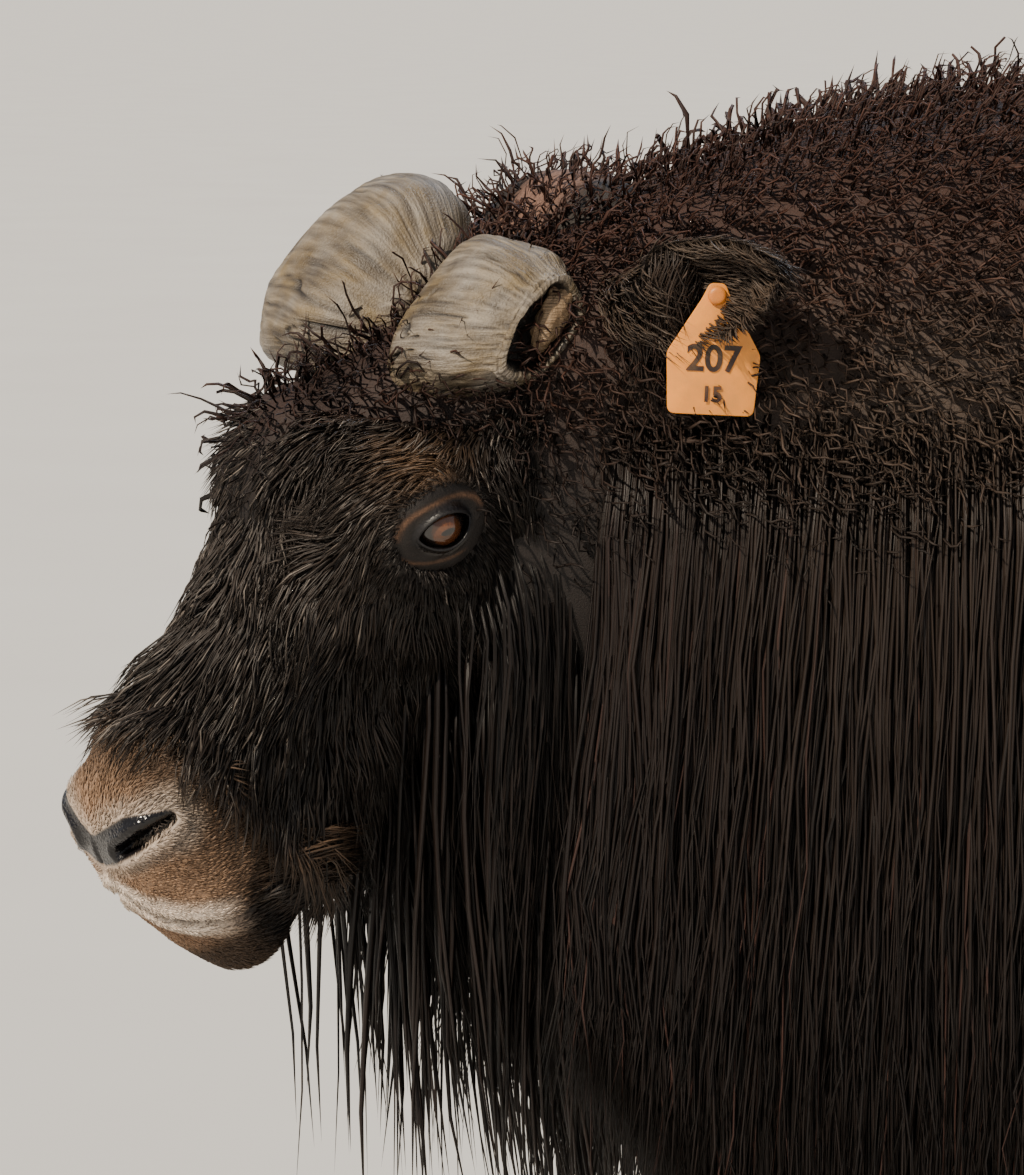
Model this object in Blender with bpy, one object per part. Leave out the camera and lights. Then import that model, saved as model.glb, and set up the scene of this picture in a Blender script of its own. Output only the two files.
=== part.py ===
"""A muskox standing with its head low and turned a little to its left, life size, as a still model.

The animal faces -Y and its left side is +X. The floor is z = 0, under the middle of the animal.
The body is lofted whole, parted by thin flat cuts, and dressed in locks and clumps of coat.
"""

import math

import bmesh
import bpy
import numpy as np
from mathutils import Matrix, Vector

# Sizes are in metres. The gap kept between touching pieces, and how much more a copy is swollen to keep it
GAP, GAP_SWELL = 0.0003, 1.3
# What a first cut leaves over for the last one, and the turn below which faces count as flat
SPARE, FLAT_ANGLE = 0.002, math.radians(1.2)

# Trunk and neck: distance back, top, height of the widest place, bottom and half width of each section
TRUNK = np.array([
    (-0.80, 1.020, 0.930, 0.820, 0.070),
    (-0.68, 1.100, 0.930, 0.775, 0.108),
    (-0.54, 1.160, 0.900, 0.690, 0.155),
    (-0.40, 1.196, 0.870, 0.600, 0.208),
    (-0.22, 1.212, 0.850, 0.525, 0.256),
    (0.00, 1.188, 0.820, 0.490, 0.285),
    (0.25, 1.150, 0.800, 0.480, 0.295),
    (0.50, 1.122, 0.800, 0.500, 0.285),
    (0.72, 1.085, 0.810, 0.560, 0.250),
])
TRUNK_CAPS = (0.06, 0.210)
TRUNK_ROUND = 2.35
TRUNK_STATIONS, TRUNK_SIDES = 16, 22

# Where the body is parted, as distances back
NECK_START, NECK_END, SHOULDER_END, FLANK_END = -0.73, -0.44, 0.02, 0.46

# Head, in its own frame: distance down the face, top, widest place, bottom and half width of each section
HEAD = np.array([
    (-0.04, -0.035, -0.090, -0.150, 0.098),
    (0.03, -0.034, -0.094, -0.190, 0.114),
    (0.09, -0.036, -0.092, -0.225, 0.119),
    (0.140, -0.032, -0.088, -0.240, 0.119),
    (0.180, 0.010, -0.080, -0.242, 0.117),
    (0.210, 0.017, -0.078, -0.240, 0.112),
    (0.25, 0.000, -0.080, -0.232, 0.098),
    (0.30, -0.014, -0.085, -0.218, 0.082),
    (0.36, -0.018, -0.088, -0.208, 0.073),
    (0.42, -0.022, -0.092, -0.205, 0.069),
    (0.457, -0.028, -0.098, -0.206, 0.064),
])
HEAD_CAPS = (0.05, 0.052)
HEAD_ROUND = 2.3
HEAD_STATIONS, HEAD_SIDES = 22, 23
POLL = Vector((0.0, -0.700, 1.130))
HEAD_DOWN, HEAD_TURN, HEAD_ROLL = math.radians(50), math.radians(15), math.radians(5)
HEAD_CUT_BACK = 0.062

# Eyes, lids and brow
EYE_RADIUS, LID_THICKNESS = 0.0185, 0.0035
EYE_PLACE = (0.200, -0.066, 0.1010)
EYE_SLIT, EYE_SLIT_TILT = (0.034, 0.021), math.radians(-28)

# Nostrils and mouth: distance down the face, height, distance out
NOSTRIL_PLACE, NOSTRIL_SIZE = (0.482, -0.058, 0.040), (0.014, 0.026, 0.011)
NOSTRIL_TURN, NOSTRIL_TILT = math.radians(28), math.radians(-42)
# The mouth's line: share of the way from the front to a corner, distance down the face, height, distance out
MOUTH = np.array([(0.0, 0.520, -0.103, 0.000), (0.5, 0.502, -0.124, 0.048), (1.0, 0.425, -0.134, 0.072)])
MOUTH_GROOVE, MOUTH_DEPTH = 0.0035, 0.010

# The muzzle's end leans, with the lips ahead of the nose: metres forward for each metre of height
NOSE_LEAN, NOSE_MIDDLE, NOSE_START, NOSE_REACH = 0.14, -0.115, 0.40, 0.10

# Forms raised on the head: distance down the face, height, out, size along each of these, how far it stands
HEAD_BUMPS = (
    (0.188, -0.040, 0.105, 0.040, 0.018, 0.030, 0.012),
    (0.325, -0.100, 0.072, 0.060, 0.035, 0.030, -0.006),
    (0.480, -0.045, 0.046, 0.028, 0.020, 0.022, 0.007),
    (0.475, -0.125, 0.050, 0.040, 0.016, 0.030, 0.005),
    (0.150, -0.190, 0.085, 0.070, 0.045, 0.050, 0.008),
    (0.500, -0.118, 0.0, 0.030, 0.014, 0.045, 0.004),
    (0.490, -0.176, 0.0, 0.040, 0.022, 0.044, 0.009),
)

# Horn bosses: distance out, height, place and half length along the face, half thickness
BOSS_LEFT = np.array([
    (0.016, -0.028, 0.076, 0.050, 0.024),
    (0.036, -0.026, 0.073, 0.061, 0.034),
    (0.058, -0.027, 0.068, 0.062, 0.037),
    (0.078, -0.032, 0.063, 0.058, 0.034),
    (0.095, -0.038, 0.059, 0.050, 0.029),
    (0.107, -0.043, 0.057, 0.041, 0.023),
])
BOSS_RIGHT = np.array([
    (0.018, -0.032, 0.068, 0.056, 0.026),
    (0.040, -0.022, 0.064, 0.078, 0.042),
    (0.072, -0.018, 0.062, 0.083, 0.048),
    (0.102, -0.020, 0.064, 0.078, 0.047),
    (0.127, -0.026, 0.066, 0.066, 0.040),
    (0.145, -0.032, 0.066, 0.048, 0.026),
])
BOSS_STATIONS, BOSS_SIDES = 8, 14
# The near boss ends in a hollow, with a flake of its core standing in it
HOLLOW_DEPTH, STUB_PLACE, STUB_SIZE = 0.014, (0.044, -0.047, 0.102), (0.009, 0.011, 0.024)

# Ears: length, half width, cup depth and wall, and how far the root's inner end turns in, back and down
EAR_LENGTH, EAR_HALF_WIDTH, EAR_CUP, EAR_WALL = 0.132, 0.033, 0.026, 0.0065
EAR_ROOT, EAR_PULL = (0.026, -0.060, 0.129), (0.030, -0.020, 0.020)
EAR_WAY, EAR_OPENING = (0.827, 0.529, -0.188), (0.540, -0.657, 0.526)

# Ear tag: width at its shoulders and foot, height, thickness, and the stud that holds it
TAG_WIDTH, TAG_FOOT, TAG_HEIGHT, TAG_THICKNESS = 0.0615, 0.0565, 0.086, 0.0018
TAG_NECK, TAG_SHOULDER, TAG_CORNER, TAG_ABOVE_HOLE = 0.017, 0.038, 0.005, 0.008
STUD_RADIUS, STUD_COLLAR, STUD_BACK, STUD_ROOM = 0.0028, 0.0062, 0.0090, 0.002
STUD_ALONG_EAR, STUD_ACROSS_EAR, STUD_OFF_EAR = 0.60, 0.008, -0.007
TAG_TURN, TAG_LEAN = math.radians(78), math.radians(3)
# The stud's outline: radius, reach from the ear outwards
STUD_PROFILE = (
    (STUD_COLLAR * 0.7, 0.0050), (STUD_COLLAR, 0.0035), (STUD_COLLAR, 0.0013), (STUD_RADIUS, 0.0013),
    (STUD_RADIUS, -0.0235), (STUD_BACK, -0.0243), (STUD_BACK, -0.0258),
)

# Legs: height, place back, half width and half length of each section, from the hoof up
FORELEG = np.array([
    (0.050, -0.012, 0.044, 0.048),
    (0.090, 0.000, 0.043, 0.050),
    (0.150, 0.004, 0.035, 0.040),
    (0.235, 0.004, 0.037, 0.042),
    (0.290, 0.000, 0.050, 0.054),
    (0.360, 0.004, 0.052, 0.060),
    (0.450, 0.018, 0.068, 0.084),
    (0.620, 0.040, 0.085, 0.110),
])
HINDLEG = np.array([
    (0.050, -0.012, 0.042, 0.046),
    (0.090, 0.000, 0.041, 0.048),
    (0.150, 0.010, 0.034, 0.041),
    (0.250, 0.030, 0.035, 0.044),
    (0.335, 0.050, 0.046, 0.060),
    (0.400, 0.040, 0.052, 0.070),
    (0.480, 0.005, 0.068, 0.100),
    (0.640, -0.030, 0.085, 0.130),
])
LEG_SIDES, LEG_STATIONS, LEG_CUT = 8, 8, 0.455
LEG_OUT, FORE_PLACE, HIND_PLACE = 0.150, -0.270, 0.640
DEWCLAW_PLACE, DEWCLAW_SIZE = (0.021, 0.046, 0.078), (0.011, 0.014, 0.017)
LEGS = {
    "front_left": (LEG_OUT, FORE_PLACE - 0.015, FORELEG, 1.0),
    "front_right": (-LEG_OUT, FORE_PLACE + 0.030, FORELEG, 1.0),
    "rear_left": (LEG_OUT, HIND_PLACE + 0.020, HINDLEG, 0.94),
    "rear_right": (-LEG_OUT, HIND_PLACE - 0.030, HINDLEG, 0.94),
}

# Hooves: length, width of one claw, height, and the cleft between the claws
HOOF_LENGTH, CLAW_WIDTH, HOOF_HEIGHT, CLEFT = 0.128, 0.060, 0.058, 0.007
HOOF_FORWARD, CLAW_PINCH, CLAW_FLAT = 0.020, 0.22, 0.004
# Sections of a claw: height, size, how far back
CLAW_SECTIONS = ((0, 1, 0), (0.012, 1.02, 0.002), (0.036, 0.9, 0.010), (HOOF_HEIGHT, 0.74, 0.020))

# Tail, hidden in the coat
TAIL_ROOT, TAIL_LENGTH, TAIL_RADIUS = (0.955, 0.900), 0.11, 0.026

# Locks of the cheeks and beard: distance down the face, height (0: the jaw's edge), out, length, width
BEARD = (
    (0.030, -0.120, 0.110, 0.40, 0.078), (0.085, -0.135, 0.112, 0.41, 0.078),
    (0.140, -0.150, 0.108, 0.40, 0.076), (0.195, -0.165, 0.098, 0.34, 0.072),
    (0.075, 0, 0.072, 0.33, 0.076), (0.130, 0, 0.070, 0.33, 0.076),
    (0.185, 0, 0.066, 0.31, 0.074), (0.240, 0, 0.058, 0.25, 0.070), (0.290, 0, 0.050, 0.18, 0.060),
    (0.340, 0, 0.044, 0.12, 0.052), (0.385, 0, 0.038, 0.07, 0.036),
)
BEARD_THICKNESS = 0.014
THROAT_PLACES, THROAT_LENGTH = (-0.66, -0.575, -0.49), 0.27

# Coat: how far the hanging coat stands off the body's widest place, and how locks are sunk and layered
COAT_STAND_OFF, LOCK_SINK, LOCK_LAYER, LOCK_THICKNESS = 0.020, 0.030, 0.010, 0.017

# Rows of locks: height, length, how far out the tips hang, how far in they leave
COAT_ROWS = (
    (1.040, 0.37, 0.034, 0.004),
    (0.820, 0.40, 0.030, 0.018),
    (0.610, 0.39, 0.008, 0.060),
)
NECK_ROWS = ((1.020, 0.30, 0.022, 0.004), (0.860, 0.38, 0.024, 0.020))

# Parts of the trunk: where each starts and ends, how far back its rows of locks run, locks in a row,
# rows of wool as angles from the crest, clumps in a row
TRUNK_PARTS = (
    ("shoulder", NECK_END, SHOULDER_END, SHOULDER_END, 5, (0.16, 0.50, 0.84), 4),
    ("flank", SHOULDER_END, FLANK_END, FLANK_END, 5, (0.20, 0.62), 3),
    ("rump", FLANK_END, 1.20, 1.14, 7, (0.20, 0.62), 3),
)
WOOL_HEIGHT = 0.058

HORN_COLOUR = (0.34, 0.30, 0.25, 1)
COAT_COLOUR = (0.030, 0.021, 0.016, 1)
FACE_COLOUR = (0.045, 0.034, 0.027, 1)
LEG_COLOUR = (0.30, 0.24, 0.18, 1)
HOOF_COLOUR = (0.03, 0.028, 0.026, 1)
EYE_COLOUR = (0.035, 0.015, 0.006, 1)
TAG_COLOUR = (0.90, 0.42, 0.12, 1)
STUD_COLOUR = (0.75, 0.33, 0.10, 1)


def clear_scene():
    for item in list(bpy.data.objects):
        bpy.data.objects.remove(item)


def material(name, colour, roughness):
    found = bpy.data.materials.get(name) or bpy.data.materials.new(name)
    found.use_nodes = True
    shader = found.node_tree.nodes["Principled BSDF"]
    shader.inputs["Base Color"].default_value = colour
    shader.inputs["Roughness"].default_value = roughness
    return found


def smooth(table, at):
    """The rows of a table between its stations: a cubic through them, with the slopes of their neighbours."""
    knots, values = table[:, 0], table[:, 1:]
    slopes = np.gradient(values, knots, axis=0)
    at = np.clip(np.asarray(at, float), knots[0], knots[-1])
    low = np.clip(np.searchsorted(knots, at) - 1, 0, len(knots) - 2)
    span = knots[low + 1] - knots[low]
    t = ((at - knots[low]) / span)[..., None]
    span = span[..., None]
    return (
        (2 * t**3 - 3 * t**2 + 1) * values[low]
        + (t**3 - 2 * t**2 + t) * span * slopes[low]
        + (3 * t**2 - 2 * t**3) * values[low + 1]
        + (t**3 - t**2) * span * slopes[low + 1]
    )


def level(points, table, caps, round_off, curtain=False):
    """How far out points lie in a lofted form: under 1 inside it, 1 on its surface.

    points holds (out, along, up). Past either end station the form closes over a cap's length.
    With curtain, the form drops straight down from its widest place.
    """
    out, along, up = points[..., 0], points[..., 1], points[..., 2]
    kept = np.clip(along, table[0, 0], table[-1, 0])
    top, wide, bottom, half = np.moveaxis(smooth(table, kept), -1, 0)
    past = along - kept
    end = np.where(past < 0, past / caps[0], past / caps[1])
    below = 0 if curtain else (wide - up) / (wide - bottom)
    rise = np.where(up > wide, (up - wide) / (top - wide), below)
    powers = np.abs(out / half) ** round_off + np.abs(rise) ** round_off + np.abs(end) ** round_off
    return powers ** (1 / round_off)


def loft_points(table, caps, round_off, stations, sides):
    """Rings of a lofted form, as (station, side, (out, along, up)), with rounded ends."""
    cap_steps = 4
    turn = np.linspace(0, math.pi / 2, cap_steps + 1)[:-1]
    middle = np.linspace(table[0, 0], table[-1, 0], stations)
    front = table[0, 0] - caps[0] * np.cos(turn)
    back = table[-1, 0] + caps[1] * np.cos(turn)[::-1]
    along = np.concatenate([front, middle, back])
    kept = np.clip(along, table[0, 0], table[-1, 0])
    end = np.where(along < kept, (kept - along) / caps[0], (along - kept) / caps[1])
    shrink = np.maximum(1 - end**round_off, 0.02) ** (1 / round_off)
    top, wide, bottom, half = np.moveaxis(smooth(table, kept), -1, 0)
    angle = (np.arange(sides) + 0.5) / sides * 2 * math.pi
    across = np.sign(np.sin(angle)) * np.abs(np.sin(angle)) ** (2 / round_off)
    rise = np.sign(np.cos(angle)) * np.abs(np.cos(angle)) ** (2 / round_off)
    height = np.where(rise > 0, (top - wide)[:, None], (wide - bottom)[:, None])
    out = across * (half * shrink)[:, None]
    up = wide[:, None] + rise * height * shrink[:, None]
    return np.stack([out, np.broadcast_to(along[:, None], out.shape), up], axis=-1)


def object_of(name, points, faces):
    """A new object with a triangulated mesh, facing out."""
    mesh = bpy.data.meshes.new(name)
    mesh.from_pydata([tuple(p) for p in points], [], faces)
    work = bmesh.new()
    work.from_mesh(mesh)
    bmesh.ops.recalc_face_normals(work, faces=work.faces)
    bmesh.ops.triangulate(work, faces=work.faces)
    if work.calc_volume(signed=True) < 0:
        bmesh.ops.reverse_faces(work, faces=work.faces)
    work.to_mesh(mesh)
    work.free()
    made = bpy.data.objects.new(name, mesh)
    bpy.context.scene.collection.objects.link(made)
    return made


def rings_object(name, rings):
    """A closed solid through rings of points, each end closed by a fan to its middle."""
    rings = np.asarray(rings, float)
    count, sides = rings.shape[:2]
    points = np.concatenate([rings.reshape(-1, 3), rings[:1].mean(axis=1), rings[-1:].mean(axis=1)])
    first, last = count * sides, count * sides + 1
    faces = []
    for i in range(count - 1):
        for j in range(sides):
            k = (j + 1) % sides
            faces.append((i * sides + j, i * sides + k, (i + 1) * sides + k, (i + 1) * sides + j))
    for j in range(sides):
        k = (j + 1) % sides
        faces.append((first, k, j))
        faces.append((last, (count - 1) * sides + j, (count - 1) * sides + k))
    return object_of(name, points, faces)


def ball(name, centre, radii, turn=None, segments=16, rings=10):
    """An ellipsoid, turned and then placed."""
    work = bmesh.new()
    bmesh.ops.create_uvsphere(work, u_segments=segments, v_segments=rings, radius=1)
    place = Matrix.Translation(centre) @ (turn or Matrix()) @ Matrix.Diagonal((*radii, 1))
    bmesh.ops.transform(work, matrix=place, verts=work.verts)
    mesh = bpy.data.meshes.new(name)
    bmesh.ops.triangulate(work, faces=work.faces)
    work.to_mesh(mesh)
    work.free()
    made = bpy.data.objects.new(name, mesh)
    bpy.context.scene.collection.objects.link(made)
    return made


def block(name, low, high, turn=None):
    """A box between two corners, turned about the origin."""
    work = bmesh.new()
    bmesh.ops.create_cube(work, size=1)
    low, high = Vector(low), Vector(high)
    place = (turn or Matrix()) @ Matrix.Translation((low + high) / 2) @ Matrix.Diagonal((*(high - low), 1))
    bmesh.ops.transform(work, matrix=place, verts=work.verts)
    bmesh.ops.triangulate(work, faces=work.faces)
    mesh = bpy.data.meshes.new(name)
    work.to_mesh(mesh)
    work.free()
    made = bpy.data.objects.new(name, mesh)
    bpy.context.scene.collection.objects.link(made)
    return made


def copy_of(item, name="copy"):
    made = bpy.data.objects.new(name, item.data.copy())
    bpy.context.scene.collection.objects.link(made)
    return made


def grown(item, by=GAP):
    """A copy swollen along its normals, used to cut a neighbour clear of it."""
    made = copy_of(item, "grown_" + item.name)
    work = bmesh.new()
    work.from_mesh(made.data)
    work.normal_update()
    for vertex in work.verts:
        vertex.co += vertex.normal * by * GAP_SWELL
    work.to_mesh(made.data)
    work.free()
    return made


def is_sound(mesh):
    """Whether a mesh is closed and faces out."""
    work = bmesh.new()
    work.from_mesh(mesh)
    sound = all(len(edge.link_faces) == 2 for edge in work.edges) and work.calc_volume(signed=True) > 0
    work.free()
    return sound


def combined_mesh(target, operation, operand, solver):
    """What a Boolean of one object or one collection makes of the target."""
    modifier = target.modifiers.new("combine", "BOOLEAN")
    modifier.operation = operation
    modifier.solver = solver
    if isinstance(operand, bpy.types.Collection):
        modifier.operand_type = "COLLECTION"
        modifier.collection = operand
    else:
        modifier.object = operand
    bpy.context.view_layer.update()
    graph = bpy.context.evaluated_depsgraph_get()
    mesh = bpy.data.meshes.new_from_object(target.evaluated_get(graph))
    target.modifiers.clear()
    return mesh


def combine(target, operation, tools):
    """The target joined to, cut by or kept within the tools, which are used up."""
    group = bpy.data.collections.new("tools")
    bpy.context.scene.collection.children.link(group)
    for tool in tools:
        bpy.context.scene.collection.objects.unlink(tool)
        group.objects.link(tool)
        tool.hide_render = True
        tool.display_type = "WIRE"
    for operand in [group] if operation == "UNION" else tools:
        mesh = combined_mesh(target, operation, operand, "EXACT")
        if not is_sound(mesh):
            mesh = combined_mesh(target, operation, operand, "MANIFOLD")
        target.data = mesh
    for tool in tools:
        bpy.data.objects.remove(tool)
    bpy.data.collections.remove(group)
    return target


def islands_of(work):
    """The separate closed surfaces of a mesh, each as its vertices."""
    unseen, islands = set(work.verts), []
    while unseen:
        stack, island = [unseen.pop()], []
        while stack:
            vertex = stack.pop()
            island.append(vertex)
            for edge in vertex.link_edges:
                other = edge.other_vert(vertex)
                if other in unseen:
                    unseen.remove(other)
                    stack.append(other)
        islands.append(island)
    return islands


def volume(island):
    faces = {face for vertex in island for face in vertex.link_faces}
    return sum(f.verts[0].co.dot(f.verts[1].co.cross(f.verts[2].co)) for f in faces) / 6


def keep_largest(item):
    """Leaves only the largest closed surface of a mesh, its flat stretches redrawn with few triangles."""
    work = bmesh.new()
    work.from_mesh(item.data)
    bmesh.ops.remove_doubles(work, verts=work.verts, dist=1e-6)
    bmesh.ops.triangulate(work, faces=work.faces)
    islands = sorted(islands_of(work), key=volume)
    bmesh.ops.delete(work, geom=[vertex for island in islands[:-1] for vertex in island], context="VERTS")
    work.to_mesh(item.data)
    bmesh.ops.dissolve_limit(work, angle_limit=FLAT_ANGLE, verts=work.verts, edges=work.edges)
    bmesh.ops.triangulate(work, faces=work.faces)
    simpler = bpy.data.meshes.new(item.name)
    work.to_mesh(simpler)
    work.free()
    if is_sound(simpler):
        item.data = simpler
    return item


def head_pose():
    """Places the head's frame, which faces -Y with its crown up, on the neck."""
    turn = Matrix.Rotation(HEAD_TURN, 4, "Z") @ Matrix.Rotation(HEAD_DOWN, 4, "X")
    return Matrix.Translation(POLL) @ turn @ Matrix.Rotation(HEAD_ROLL, 4, "Y")


def face_point(down, height, out):
    """A point of the head in the world, from its distance down the face, height and distance out."""
    return head_pose() @ Vector((out, -down, height))


def bump(points, centre, radius, rise):
    """Moves points near a centre outwards from the head's axis, by a bell-shaped amount."""
    away = np.linalg.norm((points - np.array(centre)) / np.array(radius), axis=-1)
    push = rise * np.exp(-(away**2))
    axis = np.array([0.0, 0.0, -0.10]) * np.ones_like(points)
    axis[..., 1] = points[..., 1]
    direction = points - axis
    direction /= np.linalg.norm(direction, axis=-1, keepdims=True) + 1e-9
    return points + direction * push[..., None]


def head_form():
    """The head lofted down the face, with brows, cheeks, nostril wings, lips and chin raised on it."""
    rings = loft_points(HEAD, HEAD_CAPS, HEAD_ROUND, HEAD_STATIONS, HEAD_SIDES)
    rings[..., 1] *= -1
    ease = np.clip((-rings[..., 1] - NOSE_START) / NOSE_REACH, 0, 1)
    rings[..., 1] += NOSE_LEAN * ease * (rings[..., 2] - NOSE_MIDDLE)
    for down, height, out, length, rise, breadth, stand in HEAD_BUMPS:
        for side in (1, -1) if out else (1,):
            rings = bump(rings, (side * out, -down, height), (breadth, length, rise), stand)
    return rings_object("head", rings)


def mouth_cutter():
    """A thin curved wedge that opens the mouth's line, from one corner round the front to the other."""
    turns = np.linspace(-1, 1, 17)
    down, height, out = np.moveaxis(smooth(MOUTH, np.abs(turns)), -1, 0)
    path = np.stack([out * np.sign(turns), -down, height], axis=-1)
    inward = np.array([0.0, -0.400, -0.125]) - path
    inward /= np.linalg.norm(inward, axis=-1, keepdims=True)
    depth = MOUTH_DEPTH * np.where(np.abs(turns) < 1, 1, 0.3)[:, None]
    lift = np.array([0.0, 0.0, MOUTH_GROOVE * 1.5])
    outside = path - inward * 0.02
    return rings_object("mouth", np.stack([outside + lift, path + inward * depth, outside - lift], axis=1))


def eye_slit(side):
    """An almond prism that opens the lids over the eyeball."""
    down, height, out = EYE_PLACE
    turn = Matrix.Rotation(side * math.radians(12), 4, "Z") @ Matrix.Rotation(EYE_SLIT_TILT, 4, "X")
    half_length, half_height = EYE_SLIT[0] / 2, EYE_SLIT[1] / 2
    angle = np.linspace(0, 2 * math.pi, 17)[:-1]
    rings = []
    for reach in (0.004, 0.05):
        ring = []
        for a in angle:
            lift = math.sin(a) * half_height * abs(math.sin(a)) ** 0.35
            ring.append(turn @ Vector((side * reach, math.cos(a) * half_length, lift)))
        rings.append([Vector((side * out, -down, height)) + p for p in ring])
    return rings_object("eye_slit", rings)


def eye_ball(side, radius):
    down, height, out = EYE_PLACE
    return ball("eye", (side * out, -down, height), (radius,) * 3, segments=14, rings=8)


def horn_boss(side):
    """One horn boss: a low dome carried out over the crown to a blunt end, by sections along the face.

    The left one's end is hollow.
    """
    table = BOSS_LEFT if side > 0 else BOSS_RIGHT
    share = np.sin(np.linspace(0, math.pi / 2, BOSS_STATIONS))
    out = table[0, 0] + (table[-1, 0] - table[0, 0]) * share
    height, place, half_length, half_thick = np.moveaxis(smooth(table, out)[:, None], -1, 0)
    turn = np.arange(BOSS_SIDES) * 2 * math.pi / BOSS_SIDES
    along = np.sign(np.cos(turn)) * np.abs(np.cos(turn)) ** 0.8
    thick = np.sign(np.sin(turn)) * np.abs(np.sin(turn)) ** 0.85
    wave = 1 + 0.035 * np.sin(5 * turn + 60 * out[:, None]) + 0.025 * np.sin(3 * turn + side)
    down = place + along * half_length * wave
    up = height + thick * half_thick * wave
    rings = np.stack([np.broadcast_to(side * out[:, None], down.shape), -down, up], axis=-1)
    middles = rings.mean(axis=1, keepdims=True)
    inner = middles[0] + (rings[0] - middles[0]) * 0.55 - np.array([side * 0.007, 0, 0])
    ends = ((0.82, 0.003), (0.62, -HOLLOW_DEPTH)) if side > 0 else ((0.5, 0.006),)
    outer = [middles[-1] + (rings[-1] - middles[-1]) * size + [side * reach, 0, 0] for size, reach in ends]
    boss = rings_object("horn", np.concatenate([[inner], rings, outer]))
    if side > 0:
        down, height, out = STUB_PLACE
        stub_turn = Matrix.Rotation(math.radians(-80), 4, "X")
        combine(boss, "UNION", [ball("stub", (out, -down, height), STUB_SIZE, stub_turn, 10, 7)])
    return keep_largest(boss)


def tail_form():
    """The short tail, a flattened cone hanging from the rump, out of sight in the coat."""
    back, height = TAIL_ROOT
    share = np.linspace(0, 1, 5)
    turn = np.arange(10) * 2 * math.pi / 10
    size = TAIL_RADIUS * np.array([0.75, 1.0, 0.95, 0.75, 0.40])[:, None]
    out = np.cos(turn) * size
    depth = back + 0.018 * share[:, None] + np.sin(turn) * size * 0.6
    up = np.broadcast_to((height - TAIL_LENGTH * share)[:, None], out.shape)
    return rings_object("tail", np.stack([out, depth, up], axis=-1))


def ear_axis(side):
    """The ear's frame: its length runs out and back, and its cup opens forward and down."""
    mirror = Vector((side, 1, 1))
    along = (Vector(EAR_WAY) * mirror).normalized()
    opening = Vector(EAR_OPENING) * mirror
    opening = (opening - along * opening.dot(along)).normalized()
    return along, along.cross(opening) * side, opening


def ear_form(side):
    """A cupped leaf on a short round root that turns into the head, thick as the furred ear is."""
    along, across, opening = ear_axis(side)
    root = Vector((side * EAR_ROOT[2], -EAR_ROOT[0], EAR_ROOT[1]))
    pull = Vector(EAR_PULL) * Vector((side, 1, 1))
    stations, sides = 12, 14
    rings = []
    for i in range(stations):
        u = i / (stations - 1)
        reach = EAR_LENGTH * (u**0.92)
        leaf = min(1.0, max(0.0, (u - 0.12) / 0.25))
        leaf = leaf * leaf * (3 - 2 * leaf)
        width = EAR_HALF_WIDTH * (0.50 + 0.62 * leaf) * max(1 - u**3.2, 0.02) ** 0.5
        wall = EAR_WALL / 2 * (1 - 0.4 * u) + 0.012 * (1 - leaf)
        cup = EAR_CUP * leaf * (1 - 0.45 * u)
        centre = root + along * reach - opening * 0.012 * math.sin(math.pi * u)
        centre -= pull * max(0.0, 1 - u / 0.25) ** 1.5
        ring = []
        for j in range(sides):
            a = 2 * math.pi * j / sides
            side_way = math.cos(a)
            face = math.sin(a)
            depth = cup * (side_way**2 - 0.55) + face * wall * (1 - 0.6 * leaf * side_way**2)
            ring.append(centre + across * (side_way * width) + opening * depth)
        rings.append(ring)
    return rings_object("ear", rings)


def claw(out, back, scale, way):
    """One hoof claw: a D-shaped section, flat towards the cleft, that slopes back as it rises."""
    rings = []
    for rise, size, shift in CLAW_SECTIONS:
        angle = np.arange(12) * 2 * math.pi / 12
        length = np.cos(angle) * HOOF_LENGTH / 2 * size
        pinch = 1 - CLAW_PINCH * np.maximum(0, -np.cos(angle)) ** 2
        width = np.maximum(0, np.sin(angle)) * CLAW_WIDTH * size * pinch
        width += (1 + np.minimum(0, np.sin(angle))) * CLAW_FLAT
        x = out + way * (CLEFT / 2 + width) * scale
        rings.append(np.stack([x, back + (length + shift) * scale, np.full(12, rise)], axis=-1))
    return rings_object("claw", rings)


def leg_form(out, back, table, scale):
    """A leg lofted up from the pastern, round in section, with two dewclaws behind."""
    low, high = table[0, 0], table[-1, 0]
    heights = np.concatenate([[low], np.linspace(low + 0.02, high, LEG_STATIONS)])
    shift, half_width, half_length = np.moveaxis(smooth(table, heights), -1, 0)
    rings = []
    for i, z in enumerate(heights):
        a = np.arange(LEG_SIDES) * 2 * math.pi / LEG_SIDES
        lean = np.sign(out) * 0.022 * max(0.0, z - 0.3)
        x = out - lean + np.cos(a) * half_width[i] * scale
        y = back + shift[i] + np.sin(a) * half_length[i] * scale
        rings.append(np.stack([x, y, np.full(LEG_SIDES, z)], axis=-1))
    leg = rings_object("leg", rings)
    apart, behind, height = DEWCLAW_PLACE
    places = [(out + side * apart, back + behind * scale, height) for side in (-1, 1)]
    return combine(leg, "UNION", [ball("dewclaw", place, DEWCLAW_SIZE, None, 7, 5) for place in places])


def surface_normal(points, **form):
    """The outward direction of a lofted form near points, from its level's slope."""
    step = 1e-4
    slope = []
    for axis in range(3):
        shift = np.zeros(3)
        shift[axis] = step
        slope.append((level(points + shift, **form) - level(points - shift, **form)) / (2 * step))
    slope = np.stack(slope, axis=-1)
    size = np.linalg.norm(slope, axis=-1, keepdims=True) + 1e-9
    return slope / size, size[..., 0]


def on_surface(points, **form):
    """Points carried straight onto a form's surface, with its outward direction there."""
    for _ in range(6):
        normal, size = surface_normal(points, **form)
        points = points - normal * ((level(points, **form) - 1) / size)[..., None]
    return points, surface_normal(points, **form)[0]


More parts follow.
